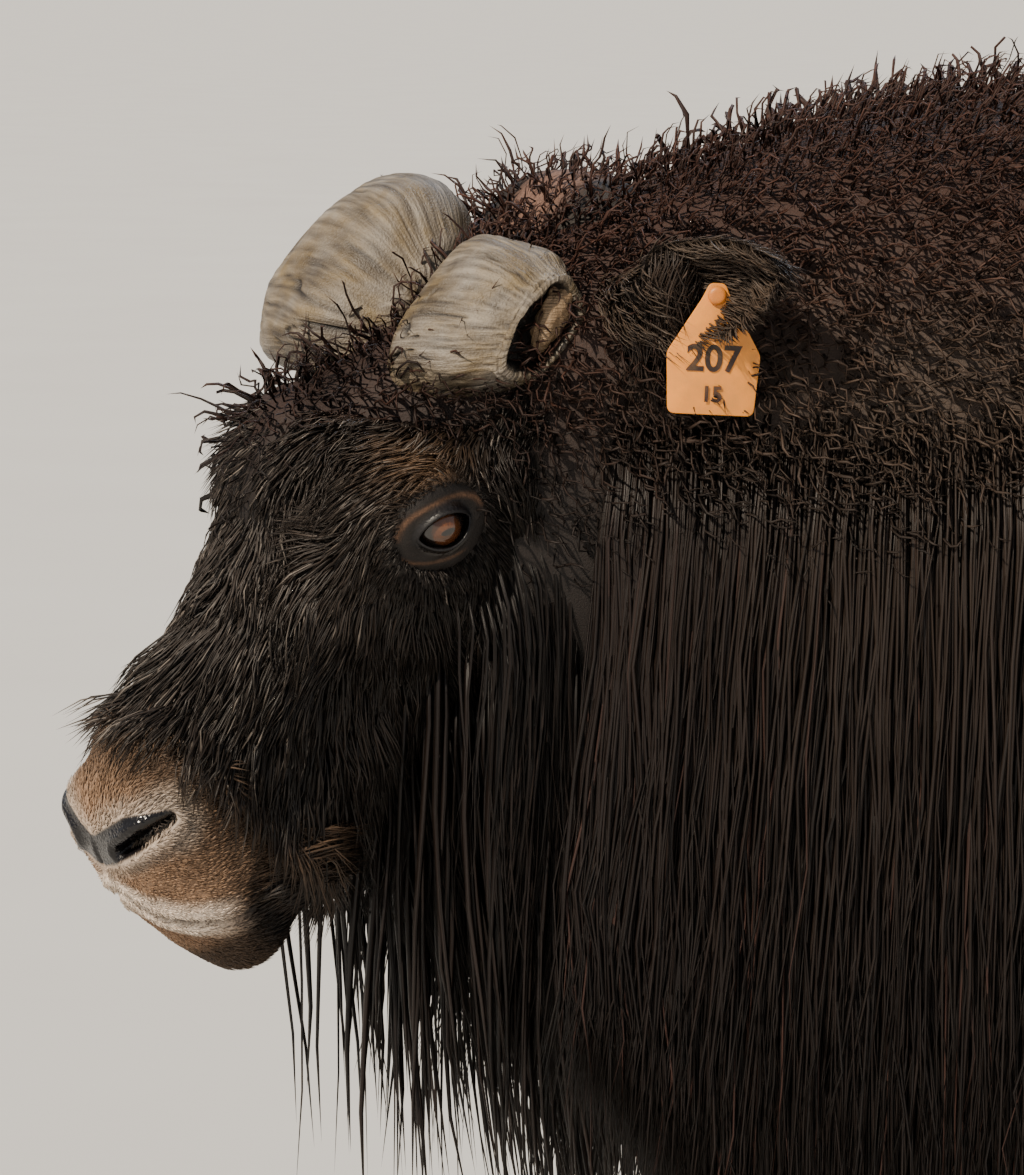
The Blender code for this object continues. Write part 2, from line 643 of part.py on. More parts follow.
def coat_form():
    """The outside of the hanging coat: the trunk, wider by the stand-off, falling from its widest place."""
    table = TRUNK.copy()
    table[:, 4] += COAT_STAND_OFF
    caps = (TRUNK_CAPS[0] + COAT_STAND_OFF, TRUNK_CAPS[1] + COAT_STAND_OFF)
    return {"table": table, "caps": caps, "round_off": TRUNK_ROUND, "curtain": True}


CORE = {"table": TRUNK, "caps": TRUNK_CAPS, "round_off": TRUNK_ROUND}


def lock_objects(paths, across, normals, widths, thickness):
    """Flat, tapered locks: each is a lens of four sides carried along its path to a point."""
    share = np.linspace(0, 1, paths.shape[1])
    half_width = np.asarray(widths, float)[:, None, None] / 2 * np.array([0.60, 0.95, 1.0, 0.74])[:, None]
    half_thick = (thickness / 2 * (1 - 0.55 * share))[None, :-1, None]
    body, side, front = paths[:, :-1], across[:, :-1] * half_width, normals[:, :-1] * half_thick
    rings = np.stack([body + side, body + front, body - side, body - front], axis=2)
    count = rings.shape[1]
    faces = [(3, 2, 1, 0)]
    for i in range(count - 1):
        for j in range(4):
            k = (j + 1) % 4
            faces.append((i * 4 + j, i * 4 + k, (i + 1) * 4 + k, (i + 1) * 4 + j))
    faces += [((count - 1) * 4 + j, (count - 1) * 4 + (j + 1) % 4, count * 4) for j in range(4)]
    return [
        object_of("lock", np.concatenate([ring.reshape(-1, 3), path[-1:]]), faces)
        for ring, path in zip(rings, paths)
    ]


def hang(roots, lengths, proud, start, sway):
    """Paths of locks: from inside the body, out to the coat's surface and down it, then straight down.

    start is how far inside the coat's surface each lock leaves, and proud how far outside it the tip hangs.
    """
    coat = coat_form()
    steps = 12
    place, normal = on_surface(np.array(roots, float), **coat)
    trail, trail_normals = [place], [normal]
    down = np.stack([np.zeros(len(place)), sway, -np.ones(len(place))], axis=-1)
    for _ in range(steps):
        slide = down - trail_normals[-1] * (down * trail_normals[-1]).sum(axis=-1, keepdims=True)
        slide /= np.linalg.norm(slide, axis=-1, keepdims=True) + 1e-9
        place, normal = on_surface(trail[-1] + slide * (lengths / steps)[:, None], **coat)
        trail.append(place)
        trail_normals.append(normal)
    trail, trail_normals = np.stack(trail, axis=1), np.stack(trail_normals, axis=1)
    share = np.array([0.0, 0.17, 0.42, 0.74, 1.0])
    low = np.clip((share * steps).astype(int), 0, steps - 1)
    part = (share * steps - low)[None, :, None]
    path = trail[:, low] * (1 - part) + trail[:, low + 1] * part
    normals = trail_normals[:, low] * (1 - part) + trail_normals[:, low + 1] * part
    normals /= np.linalg.norm(normals, axis=-1, keepdims=True)
    ease = share * share * (3 - 2 * share)
    offset = proud[:, None] * ease - start[:, None] * (1 - ease) ** 1.5
    offset[:, 0] -= LOCK_SINK
    path = path + normals * offset[..., None]
    along = np.gradient(path, axis=1)
    across = np.cross(along, normals)
    across /= np.linalg.norm(across, axis=-1, keepdims=True)
    normals = np.cross(across, along)
    return path, across, normals / np.linalg.norm(normals, axis=-1, keepdims=True)


def round_the_body(side, walked, height):
    """Places round the outside of the body, by distance walked back along one side and round the rear."""
    straight = TRUNK[-1, 0]
    reach = TRUNK_CAPS[1] + COAT_STAND_OFF
    angle = np.clip((walked - straight) / reach / 1.25, 0, math.pi / 2)
    half = TRUNK[-1, 4] + COAT_STAND_OFF
    out = np.where(walked < straight, 0.30, half * np.cos(angle))
    back = np.where(walked < straight, walked, straight + reach * np.sin(angle))
    return np.stack([side * out, back, height], axis=-1)


def row_of_locks(side, start, end, count, height, length, proud, sunk, chance):
    """Locks set side by side round the body at one height, every second one lying a little further out."""
    spacing = (end - start) / count
    steps = np.arange(count)
    heights = height + chance.uniform(-0.012, 0.012, count)
    roots = round_the_body(side, start + spacing * (steps + 0.5), heights)
    layer = LOCK_LAYER * (steps % 2)
    lengths = length * chance.uniform(0.90, 1.08, count)
    paths = hang(roots, lengths, proud + layer, sunk - layer, chance.uniform(-0.02, 0.06, count))
    return lock_objects(*paths, np.full(count, spacing * 0.98), LOCK_THICKNESS)


def falling_locks(roots, leaving, lengths, widths, ways, spread):
    """Locks that leave the body at a place below their roots and fall free, each as broad as its way."""
    paths = [roots, leaving]
    fall = np.outer(lengths, [0, 0, -1])
    for share in (0.34, 0.68, 1.0):
        paths.append(leaving + (spread + fall) * share)
    paths = np.stack(paths, axis=1)
    along = np.gradient(paths, axis=1)
    across = np.broadcast_to(ways[:, None], paths.shape)
    normals = np.cross(across, along)
    normals /= np.linalg.norm(normals, axis=-1, keepdims=True)
    return lock_objects(paths, across, normals, widths, BEARD_THICKNESS)


def clump(place, normal, along, length, width, height):
    """A rounded clump of curled wool, lying along the coat, sunk to half its height."""
    across = Vector(np.cross(normal, along)).normalized()
    along = Vector(along).normalized()
    up = Vector(normal).normalized()
    turn = Matrix((across, along, up)).transposed().to_4x4()
    return ball("clump", Vector(place), (width / 2, length / 2, height / 2), turn, 6, 4)


def wool(side, start, end, rows, count, chance):
    """Rounded clumps in staggered rows over the crest and back, close enough to touch."""
    made = []
    spacing = (end - start) / count
    for row, angle in enumerate(rows):
        for i in range(count):
            y = start + spacing * (i + (0.5 if row % 2 else 0.25) + chance.uniform(-0.1, 0.1))
            top, wide, _, half = smooth(TRUNK, y)
            guess = (side * half * math.sin(angle), y, wide + (top - wide) * math.cos(angle))
            place, normal = on_surface(np.array(guess)[None], **CORE)
            slide = np.array([0.0, 0.7, -0.7]) - normal[0] * np.dot([0.0, 0.7, -0.7], normal[0])
            length = 1.55 * spacing * chance.uniform(0.9, 1.1)
            made.append(clump(place[0], normal[0], slide, length, length * 0.72, WOOL_HEIGHT))
    return made


def cell(low_y, high_y, side=0, low_z=-1.0, spare=0.0):
    """The block of space that one part of the trunk is kept within, with some to spare for a first cut."""
    inset = GAP / 2 - spare
    low_x, high_x = {0: (-2, 2), 1: (inset, 2), -1: (-2, -inset)}[side]
    return block("cell", (low_x, low_y + inset, low_z), (high_x, high_y - inset, 3))


def head_plane(front, spare=0.0):
    """The space in front of or behind the flat cut between head and neck, with some to spare at first."""
    turn = Matrix.Translation((POLL.x, POLL.y + HEAD_CUT_BACK, 0)) @ Matrix.Rotation(HEAD_TURN, 4, "Z")
    inset = GAP / 2 - spare
    if front:
        return block("front", (-2, -3, -1), (2, -inset, 3), turn)
    return block("back", (-2, inset, -1), (2, 3, 3), turn)


def whole_body():
    """Trunk, head and legs as one closed surface, before it is parted."""
    rings = loft_points(TRUNK, TRUNK_CAPS, TRUNK_ROUND, TRUNK_STATIONS, TRUNK_SIDES)
    trunk = rings_object("whole", rings)
    head = head_form()
    head.data.transform(head_pose())
    return combine(trunk, "UNION", [head] + [leg_form(*sizes) for sizes in LEGS.values()])


def finish(item, name, group, look):
    item.name = name
    item.data.name = name
    keep_largest(item)
    item.data.materials.clear()
    item.data.materials.append(look)
    item.data.shade_smooth()
    item.data.set_sharp_from_angle(angle=math.radians(40))
    bpy.context.scene.collection.objects.unlink(item)
    group.objects.link(item)
    return item


def trunk_part(whole, name, low_y, high_y, side, coat, group, look, clear_of=()):
    """One part of the trunk with its locks and clumps, kept within its own block of space."""
    part = combine(copy_of(whole), "INTERSECT", [cell(low_y, high_y, side, LEG_CUT + GAP / 2, SPARE)])
    if coat:
        combine(part, "UNION", coat)
    combine(part, "INTERSECT", [cell(low_y, high_y, side)])
    for item in clear_of:
        combine(part, "DIFFERENCE", [grown(item)])
    return finish(part, name, group, look)


def tag_outline():
    """The tag's outline from its narrow neck down to rounded lower corners, as a flat 2D curve."""
    half, foot, neck, corner = TAG_WIDTH / 2, TAG_FOOT / 2, TAG_NECK / 2, TAG_CORNER
    drop = TAG_HEIGHT - TAG_ABOVE_HOLE
    right = [
        (neck * 0.55, TAG_ABOVE_HOLE), (neck, 0.003), (neck + 0.001, -0.004), (half, -TAG_SHOULDER),
        (foot, -drop + corner), (foot - corner * 0.3, -drop + corner * 0.3), (foot - corner, -drop),
    ]
    return right + [(-x, z) for x, z in reversed(right)]


def ear_tag():
    """The tag plate with the hole that its stud passes through, hung from the ear and facing out."""
    curve = bpy.data.curves.new("ear_tag", "CURVE")
    curve.dimensions = "2D"
    curve.fill_mode = "BOTH"
    curve.extrude = TAG_THICKNESS / 2
    spline = curve.splines.new("POLY")
    outline = tag_outline()
    spline.points.add(len(outline) - 1)
    for point, (x, z) in zip(spline.points, outline):
        point.co = (x, z, 0, 1)
    spline.use_cyclic_u = True
    plate = bpy.data.objects.new("ear_tag", curve)
    bpy.context.scene.collection.objects.link(plate)
    bpy.context.view_layer.update()
    graph = bpy.context.evaluated_depsgraph_get()
    mesh = bpy.data.meshes.new_from_object(plate.evaluated_get(graph))
    bpy.data.objects.remove(plate)
    work = bmesh.new()
    work.from_mesh(mesh)
    bmesh.ops.remove_doubles(work, verts=work.verts, dist=1e-6)
    bmesh.ops.recalc_face_normals(work, faces=work.faces)
    work.to_mesh(mesh)
    work.free()
    made = bpy.data.objects.new("ear_tag", mesh)
    bpy.context.scene.collection.objects.link(made)
    made.data.transform(tag_pose())
    return made


def tag_pose():
    """Stands the tag up, turned to face out from the animal's left, with its hole on the stud."""
    along, across, opening = ear_axis(1)
    root = Vector((EAR_ROOT[2], -EAR_ROOT[0], EAR_ROOT[1]))
    place = root + along * (EAR_LENGTH * STUD_ALONG_EAR)
    place += across * STUD_ACROSS_EAR + opening * STUD_OFF_EAR
    turn = Matrix.Rotation(TAG_TURN, 4, "Z") @ Matrix.Rotation(TAG_LEAN, 4, "Y")
    return Matrix.Translation(head_pose() @ place) @ turn @ Matrix.Rotation(math.radians(90), 4, "X")


def stud(extra=0.0):
    """The stud: a button in front of the tag, a shaft through tag and ear, and a round back plate."""
    angle = np.arange(16) * 2 * math.pi / 16
    rings = []
    for radius, reach in STUD_PROFILE:
        radius += extra
        rings.append(np.stack([np.cos(angle) * radius, np.sin(angle) * radius, np.full(16, reach)], axis=-1))
    made = rings_object("ear_tag_stud", rings)
    made.data.transform(tag_pose())
    return made


def side_word(side):
    return "left" if side > 0 else "right"


def beard(chance):
    """Locks hanging from the cheeks and along the jaw to the throat, shorter towards the chin."""
    down, height, out, lengths, widths = np.array(BEARD).T
    jaw = smooth(HEAD, down)[:, 2] + 0.030
    height = np.where(height == 0, jaw, height)
    made = []
    wander = chance.uniform(-0.012, 0.012, (2, len(down)))
    for side, drift in zip((1, -1), wander):
        roots = [face_point(*place) for place in zip(down, height, side * (out - 0.030))]
        leaving = [face_point(*place) for place in zip(down + 0.004, height - 0.030, side * (out + 0.006))]
        way = side * np.array([-math.sin(HEAD_TURN), math.cos(HEAD_TURN), 0.0])
        ways = np.tile(way, (len(down), 1))
        spread = np.stack([np.full(len(down), side * 0.016), 0.03 + drift, 0 * down], axis=-1)
        made += falling_locks(np.array(roots), np.array(leaving), lengths, widths, ways, spread)
    return made


def throat(chance):
    """Locks that hang below the neck, in front of the chest."""
    back = np.repeat(THROAT_PLACES, 2)
    out = np.tile([0.052, -0.052], len(THROAT_PLACES))
    bottom = smooth(TRUNK, back)[:, 2]
    roots = np.stack([out * 0.8, back, bottom + 0.040], axis=-1)
    leaving = np.stack([out, back - 0.006, bottom - 0.012], axis=-1)
    lengths = THROAT_LENGTH * chance.uniform(0.88, 1.06, len(back))
    ways = np.stack([np.full(len(back), 0.94), 0.34 * np.sign(out), 0 * out], axis=-1)
    return falling_locks(roots, leaving, lengths, np.full(len(back), 0.078), ways, np.zeros((len(back), 3)))


def build():
    clear_scene()
    group = bpy.data.collections.new("muskox")
    bpy.context.scene.collection.children.link(group)
    coat_look = material("guard_hair", COAT_COLOUR, 0.6)
    face_look = material("face_hair", FACE_COLOUR, 0.65)
    horn_look = material("horn", HORN_COLOUR, 0.7)
    leg_look = material("leg_hair", LEG_COLOUR, 0.75)
    hoof_look = material("hoof", HOOF_COLOUR, 0.45)
    eye_look = material("eye", EYE_COLOUR, 0.08)
    tag_look = material("tag_plastic", TAG_COLOUR, 0.4)
    stud_look = material("stud_plastic", STUD_COLOUR, 0.4)
    chance = np.random.default_rng(11)
    whole = whole_body()
    pose = head_pose()

    horns, eyes, ears = {}, {}, {}
    for side in (1, -1):
        horns[side] = horn_boss(side)
        horns[side].data.transform(pose)
        eyes[side] = eye_ball(side, EYE_RADIUS)
        eyes[side].data.transform(pose)
        ears[side] = ear_form(side)
        ears[side].data.transform(pose)
    pin = stud()
    tag = combine(ear_tag(), "DIFFERENCE", [stud(GAP)])

    head = combine(copy_of(whole), "INTERSECT", [head_plane(True, SPARE)])
    lids = [eye_ball(side, EYE_RADIUS + LID_THICKNESS) for side in (1, -1)]
    for lid in lids:
        lid.data.transform(pose)
    combine(head, "UNION", lids + beard(chance))
    cutters = [mouth_cutter()]
    for side in (1, -1):
        down, height, out = NOSTRIL_PLACE
        turn = Matrix.Rotation(side * NOSTRIL_TURN, 4, "Z") @ Matrix.Rotation(NOSTRIL_TILT, 4, "X")
        cutters.append(ball("nostril", (side * out, -down, height), NOSTRIL_SIZE, turn, 14, 8))
        cutters.append(eye_ball(side, EYE_RADIUS + GAP))
        cutters.append(eye_slit(side))
    for cutter in cutters:
        cutter.data.transform(pose)
    combine(head, "DIFFERENCE", cutters)
    combine(head, "INTERSECT", [head_plane(True)])

    neck = combine(copy_of(whole), "INTERSECT", [head_plane(False, SPARE)])
    combine(neck, "INTERSECT", [cell(-1.2, NECK_END, spare=SPARE)])
    neck_coat = []
    for side in (1, -1):
        for row in NECK_ROWS:
            neck_coat += row_of_locks(side, NECK_START, NECK_END, 4, *row, chance)
        neck_coat += wool(side, NECK_START + 0.06, NECK_END, (0.28, 0.70), 3, chance)
    neck_coat += throat(chance)
    combine(neck, "UNION", neck_coat)
    combine(neck, "INTERSECT", [cell(-1.2, NECK_END)])
    combine(neck, "INTERSECT", [head_plane(False)])

    for side in (1, -1):
        combine(head, "DIFFERENCE", [grown(horns[side])])
        combine(neck, "DIFFERENCE", [grown(horns[side])])
    for side in (1, -1):
        keep_largest(combine(ears[side], "DIFFERENCE", [grown(whole)]))
        combine(head, "DIFFERENCE", [grown(ears[side])])
        combine(neck, "DIFFERENCE", [grown(ears[side])])
    combine(ears[1], "DIFFERENCE", [stud(GAP), grown(tag)])
    combine(neck, "DIFFERENCE", [stud(STUD_ROOM)])
    finish(head, "head", group, face_look)
    finish(neck, "neck", group, coat_look)
    for side in (1, -1):
        word = side_word(side)
        finish(horns[side], f"horn_{word}", group, horn_look)
        finish(eyes[side], f"eye_{word}", group, eye_look)
        finish(ears[side], f"ear_{word}", group, face_look)
    finish(tag, "ear_tag", group, tag_look)
    finish(pin, "ear_tag_stud", group, stud_look)

    tail = tail_form()
    for name, low, high, last, count, wool_rows, clumps in TRUNK_PARTS:
        for side in (1, -1):
            coat = wool(side, low, min(high, 0.90), wool_rows, clumps, chance)
            for row in COAT_ROWS:
                coat += row_of_locks(side, low, last, count, *row, chance)
            clear_of = [tail] if name == "rump" else []
            trunk_part(whole, f"{name}_{side_word(side)}", low, high, side, coat, group, coat_look, clear_of)
    finish(tail, "tail", group, coat_look)

    for place, (out, back, table, scale) in LEGS.items():
        low = (out - 0.14, back - 0.24, HOOF_HEIGHT + GAP)
        high = (out + 0.14, back + 0.24, LEG_CUT - GAP / 2)
        leg = combine(copy_of(whole), "INTERSECT", [block("leg_cell", low, high)])
        finish(leg, f"leg_{place}", group, leg_look)
        outward = 1 if out > 0 else -1
        for way, word in ((outward, "outer"), (-outward, "inner")):
            toe = claw(out, back - HOOF_FORWARD, scale, way)
            finish(toe, f"hoof_{place}_{word}", group, hoof_look)

    bpy.data.objects.remove(whole)


build()
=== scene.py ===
# %% [markdown]
# # The looks of a muskox, life size
# This is a still model of a standing muskox, such as a museum shows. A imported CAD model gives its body,
# horns, ears, hooves and tag. This lesson dresses it: one fine skin, a coat of solid tufts that follow the
# lie of the hair, cracked horn, wet eyes and nose, and a plain studio. The animal faces -Y, its left side
# is +X, the floor is z = 0 and every size is in metres.

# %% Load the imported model
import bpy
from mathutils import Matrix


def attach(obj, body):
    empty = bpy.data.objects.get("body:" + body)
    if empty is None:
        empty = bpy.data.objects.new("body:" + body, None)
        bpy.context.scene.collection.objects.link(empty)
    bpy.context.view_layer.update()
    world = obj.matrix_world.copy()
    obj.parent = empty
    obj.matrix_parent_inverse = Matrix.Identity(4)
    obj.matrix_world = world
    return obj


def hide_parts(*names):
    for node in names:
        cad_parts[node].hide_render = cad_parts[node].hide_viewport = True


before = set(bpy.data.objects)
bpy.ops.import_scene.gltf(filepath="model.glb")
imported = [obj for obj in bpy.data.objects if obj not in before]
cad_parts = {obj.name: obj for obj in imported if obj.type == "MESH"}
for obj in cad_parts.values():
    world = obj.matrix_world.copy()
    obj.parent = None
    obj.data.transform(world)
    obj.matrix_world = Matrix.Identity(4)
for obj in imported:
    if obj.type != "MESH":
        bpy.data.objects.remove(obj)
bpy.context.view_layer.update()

import math

import bpy
import numpy as np
from mathutils import Matrix, Vector

chance = np.random.default_rng(7)

# %% [markdown]
# ## The body's driving sizes
# The coat has to lie where the solids are, so the trunk and head are the same lofts that the solids use:
# a few sections, each with a top, a widest place, a bottom and a half width. A cubic through the sections
# gives any place between them. A scan would be the other way to hold such a form, but a table of sections
# is short enough to read and change.

# %% Sections of the trunk and the head
# Distance back, top, height of the widest place, bottom, half width
TRUNK = np.array([
    (-0.80, 1.020, 0.930, 0.820, 0.070),
    (-0.68, 1.100, 0.930, 0.775, 0.108),
    (-0.54, 1.160, 0.900, 0.690, 0.155),
    (-0.40, 1.196, 0.870, 0.600, 0.208),
    (-0.22, 1.212, 0.850, 0.525, 0.256),
    (0.00, 1.188, 0.820, 0.490, 0.285),
    (0.25, 1.150, 0.800, 0.480, 0.295),
    (0.50, 1.122, 0.800, 0.500, 0.285),
    (0.72, 1.085, 0.810, 0.560, 0.250),
])
TRUNK_CAPS, TRUNK_POWER = (0.06, 0.210), 2.35

# Distance down the face, then as above, in the head's own frame
HEAD = np.array([
    (-0.04, -0.035, -0.090, -0.150, 0.098),
    (0.03, -0.034, -0.094, -0.190, 0.114),
    (0.09, -0.036, -0.092, -0.225, 0.119),
    (0.140, -0.032, -0.088, -0.240, 0.119),
    (0.180, 0.010, -0.080, -0.242, 0.117),
    (0.210, 0.017, -0.078, -0.240, 0.112),
    (0.25, 0.000, -0.080, -0.232, 0.098),
    (0.30, -0.014, -0.085, -0.218, 0.082),
    (0.36, -0.018, -0.088, -0.208, 0.073),
    (0.42, -0.022, -0.092, -0.205, 0.069),
    (0.457, -0.028, -0.098, -0.206, 0.064),
])
HEAD_CAPS, HEAD_POWER = (0.05, 0.052), 2.3
# The muzzle's end leans, with the lips ahead of the nose: metres forward for each metre of height
NOSE_LEAN, NOSE_MIDDLE, NOSE_START, NOSE_REACH = 0.14, -0.115, 0.40, 0.10
# Forms raised on the head: distance down, height, out, size along each of these, how far it stands
HEAD_BUMPS = (
    (0.188, -0.040, 0.105, 0.040, 0.018, 0.030, 0.012),
    (0.325, -0.100, 0.072, 0.060, 0.035, 0.030, -0.006),
    (0.480, -0.045, 0.046, 0.028, 0.020, 0.022, 0.007),
    (0.475, -0.125, 0.050, 0.040, 0.016, 0.030, 0.005),
    (0.150, -0.190, 0.085, 0.070, 0.045, 0.050, 0.008),
    (0.500, -0.118, 0.0, 0.030, 0.014, 0.045, 0.004),
    (0.490, -0.176, 0.0, 0.040, 0.022, 0.044, 0.009),
)
POLL = np.array([0.0, -0.700, 1.130])
HEAD_DOWN, HEAD_TURN, HEAD_ROLL = math.radians(50), math.radians(15), math.radians(5)
HEAD_MATRIX = np.array(
    Matrix.Rotation(HEAD_TURN, 3, "Z") @ Matrix.Rotation(HEAD_DOWN, 3, "X") @ Matrix.Rotation(
        HEAD_ROLL, 3, "Y",
    )
)


def to_world(points):
    """Points of the head's frame (out, towards the crown's back, up) placed on the neck."""
    return points @ HEAD_MATRIX.T + POLL


def to_head(points):
    return (points - POLL) @ HEAD_MATRIX


# %% [markdown]
# ## Small tools for shapes
# Every surface here is worked out with whole numpy arrays. A loft gives a point for each pair of a distance
# along the body and an angle round it. Its level says how far out any point lies, which lets hair find the
# surface and slide along it. Lattice noise gives the irregularity that living things have.

# %% Curves, lofts and noise
def smooth(table, at):
    """The rows of a table between its stations: a cubic through them, with the slopes of their neighbours."""
    knots, values = table[:, 0], table[:, 1:]
    slopes = np.gradient(values, knots, axis=0)
    at = np.clip(np.asarray(at, float), knots[0], knots[-1])
    low = np.clip(np.searchsorted(knots, at) - 1, 0, len(knots) - 2)
    span = knots[low + 1] - knots[low]
    t = ((at - knots[low]) / span)[..., None]
    span = span[..., None]
    return (
        (2 * t**3 - 3 * t**2 + 1) * values[low]
        + (t**3 - 2 * t**2 + t) * span * slopes[low]
        + (3 * t**2 - 2 * t**3) * values[low + 1]
        + (t**3 - t**2) * span * slopes[low + 1]
    )


def step(low, high, value):
    """0 below low, 1 above high, and an S-shaped way between."""
    t = np.clip((value - low) / (high - low), 0, 1)
    return t * t * (3 - 2 * t)


def unit(vectors):
    return vectors / (np.linalg.norm(vectors, axis=-1, keepdims=True) + 1e-12)


def signed_power(value, power):
    return np.sign(value) * np.abs(value) ** power


def loft(table, caps, power, along, angle):
    """Points of a lofted form: a superellipse section at a distance along, at an angle from its top."""
    along, angle = np.broadcast_arrays(np.asarray(along, float), angle)
    kept = np.clip(along, table[0, 0], table[-1, 0])
    end = np.where(along < kept, (kept - along) / caps[0], (along - kept) / caps[1])
    shrink = np.maximum(1 - np.minimum(end, 1) ** power, 0) ** (1 / power)
    top, wide, bottom, half = np.moveaxis(smooth(table, kept), -1, 0)
    rise = signed_power(np.cos(angle), 2 / power)
    out = signed_power(np.sin(angle), 2 / power) * half * shrink
    up = wide + rise * np.where(rise > 0, top - wide, wide - bottom) * shrink
    return np.stack([out, along, up], axis=-1)


def stations(table, caps, front, middle, back):
    """Distances along a loft, closer together where its ends round off."""
    first, last = table[0, 0], table[-1, 0]
    turn = np.linspace(0, math.pi / 2, front + 1)[:-1]
    rear = np.linspace(0, math.pi / 2, back + 1)[1:]
    return np.concatenate([
        first - caps[0] * np.cos(turn) * 0.9999,
        np.linspace(first, last, middle),
        last + caps[1] * np.sin(rear) * 0.9999,
    ])


def noise(points, size, seed=0):
    """Smooth random values from -1 to 1, whose lumps are about size across: a lattice of chance, blended."""
    scaled = np.asarray(points, float) / size + seed * 17.31
    cell = np.floor(scaled).astype(np.int64)
    part = scaled - cell
    part = part * part * (3 - 2 * part)
    total = 0
    for corner in np.ndindex(2, 2, 2):
        at = cell + np.array(corner)
        mixed = at[..., 0] * 374761393 + at[..., 1] * 668265263 + at[..., 2] * 2147483647 + seed * 974711
        mixed = (mixed ^ (mixed >> 13)) * 1274126177
        value = ((mixed ^ (mixed >> 16)) & 0xFFFF) / 0x7FFF - 1
        weight = np.where(np.array(corner) == 1, part, 1 - part).prod(axis=-1)
        total = total + value * weight
    return total


def noise_vectors(points, size, seed=0):
    return np.stack([noise(points, size, seed + i) for i in range(3)], axis=-1)


print("head matrix turns the nose to", np.round(-HEAD_MATRIX[:, 1], 3).tolist())

# %% [markdown]
# ## From arrays to meshes
# A tube of rings, closed by a fan at each end, carries the head, trunk, legs, ears and horns. It is turned
# to face out by the sign of its volume. Modelling by hand or remeshing would also close the skin, but tubes
# stay light and keep the places of their own parameters, which the coat needs.

# %% Tubes and mesh objects
def tube(rings):
    """Points and triangles of a tube through rings (ring, place round it, 3), closed by a fan at each end."""
    count, sides = rings.shape[:2]
    points = np.concatenate([rings.reshape(-1, 3), rings[:1].mean(axis=1), rings[-1:].mean(axis=1)])
    ring, place = np.meshgrid(np.arange(count - 1), np.arange(sides), indexing="ij")
    after = (place + 1) % sides
    a, b = ring * sides + place, ring * sides + after
    c, d = b + sides, a + sides
    walls = np.concatenate([np.stack([a, b, c], -1).reshape(-1, 3), np.stack([a, c, d], -1).reshape(-1, 3)])
    j = np.arange(sides)
    k = (j + 1) % sides
    first = np.stack([np.full(sides, count * sides), k, j], axis=-1)
    last_ring = (count - 1) * sides
    last = np.stack([np.full(sides, count * sides + 1), last_ring + j, last_ring + k], axis=-1)
    faces = np.concatenate([walls, first, last])
    return points, faces if volume(points, faces) > 0 else faces[:, ::-1]


def ring_band(rings):
    """Points and triangles of a closed band: rings (along its section, round it, 3) joined both ways."""
    count, sides = rings.shape[:2]
    ring, place = np.meshgrid(np.arange(count), np.arange(sides), indexing="ij")
    a, b = ring * sides + place, ring * sides + (place + 1) % sides
    d, c = (ring + 1) % count * sides + place, (ring + 1) % count * sides + (place + 1) % sides
    faces = np.concatenate([np.stack([a, b, c], -1).reshape(-1, 3), np.stack([a, c, d], -1).reshape(-1, 3)])
    points = rings.reshape(-1, 3)
    return points, faces if volume(points, faces) > 0 else faces[:, ::-1]


def volume(points, faces):
    corners = (points - points.mean(axis=0))[faces]
    return np.einsum("ij,ij->i", corners[:, 0], np.cross(corners[:, 1], corners[:, 2])).sum() / 6


def joined(parts):
    """Several (points, faces) as one."""
    starts = np.cumsum([0] + [len(points) for points, _ in parts[:-1]])
    points = np.concatenate([points for points, _ in parts])
    return points, np.concatenate([faces + start for (_, faces), start in zip(parts, starts)])


def mesh_object(name, points, faces):
    """A smooth-shaded object from arrays of points and triangles."""
    mesh = bpy.data.meshes.new(name)
    mesh.vertices.add(len(points))
    mesh.vertices.foreach_set("co", np.asarray(points, np.float32).ravel())
    mesh.loops.add(len(faces) * 3)
    mesh.loops.foreach_set("vertex_index", np.asarray(faces, np.int32).ravel())
    mesh.polygons.add(len(faces))
    mesh.polygons.foreach_set("loop_start", np.arange(0, len(faces) * 3, 3, dtype=np.int32))
    mesh.polygons.foreach_set("use_smooth", np.ones(len(faces), bool))
    mesh.update(calc_edges=True)
    made = bpy.data.objects.new(name, mesh)
    bpy.context.scene.collection.objects.link(made)
    return made


def paint(item, name, values):
    """Gives a mesh a named colour for each point; a single number a point becomes a grey."""
    values = np.asarray(values, np.float32)
    if values.ndim == 1:
        values = np.repeat(values[:, None], 3, axis=1)
    layer = item.data.color_attributes.new(name, "FLOAT_COLOR", "POINT")
    layer.data.foreach_set(
        "color", np.concatenate([values, np.ones((len(values), 1), np.float32)], 1).ravel(),
    )


def uv_map(item, name, values):
    """Gives a mesh a named UV map from one pair of values for each point."""
    loops = np.empty(len(item.data.loops), np.int32)
    item.data.loops.foreach_get("vertex_index", loops)
    layer = item.data.uv_layers.new(name=name)
    layer.uv.foreach_set("vector", np.asarray(values, np.float32)[loops].ravel())


# %% [markdown]
# ## Colours of the animal
# The photograph's animal is black-brown with glossy guard hair, red-brown wool on the hump, a grey and messy
# face, a tan muzzle with cream lips and a black wet nose. The hidden parts follow the species: a pale saddle
# on the back and pale lower legs. One function gives the colour at any place of the body, and both the skin
# and the coat take it from there, so they carry the same markings.

# %% Colour tools
def linear(code):
    """The linear colour of an sRGB hex code."""
    channels = np.array([int(code[i:i + 2], 16) for i in (1, 3, 5)]) / 255
    return np.where(channels <= 0.04045, channels / 12.92, ((channels + 0.055) / 1.055) ** 2.4)


def blend(under, over, share):
    return under + (over - under) * np.asarray(share)[..., None]


def evenly(colour, points):
    """One colour for every point."""
    return np.broadcast_to(colour, points.shape)


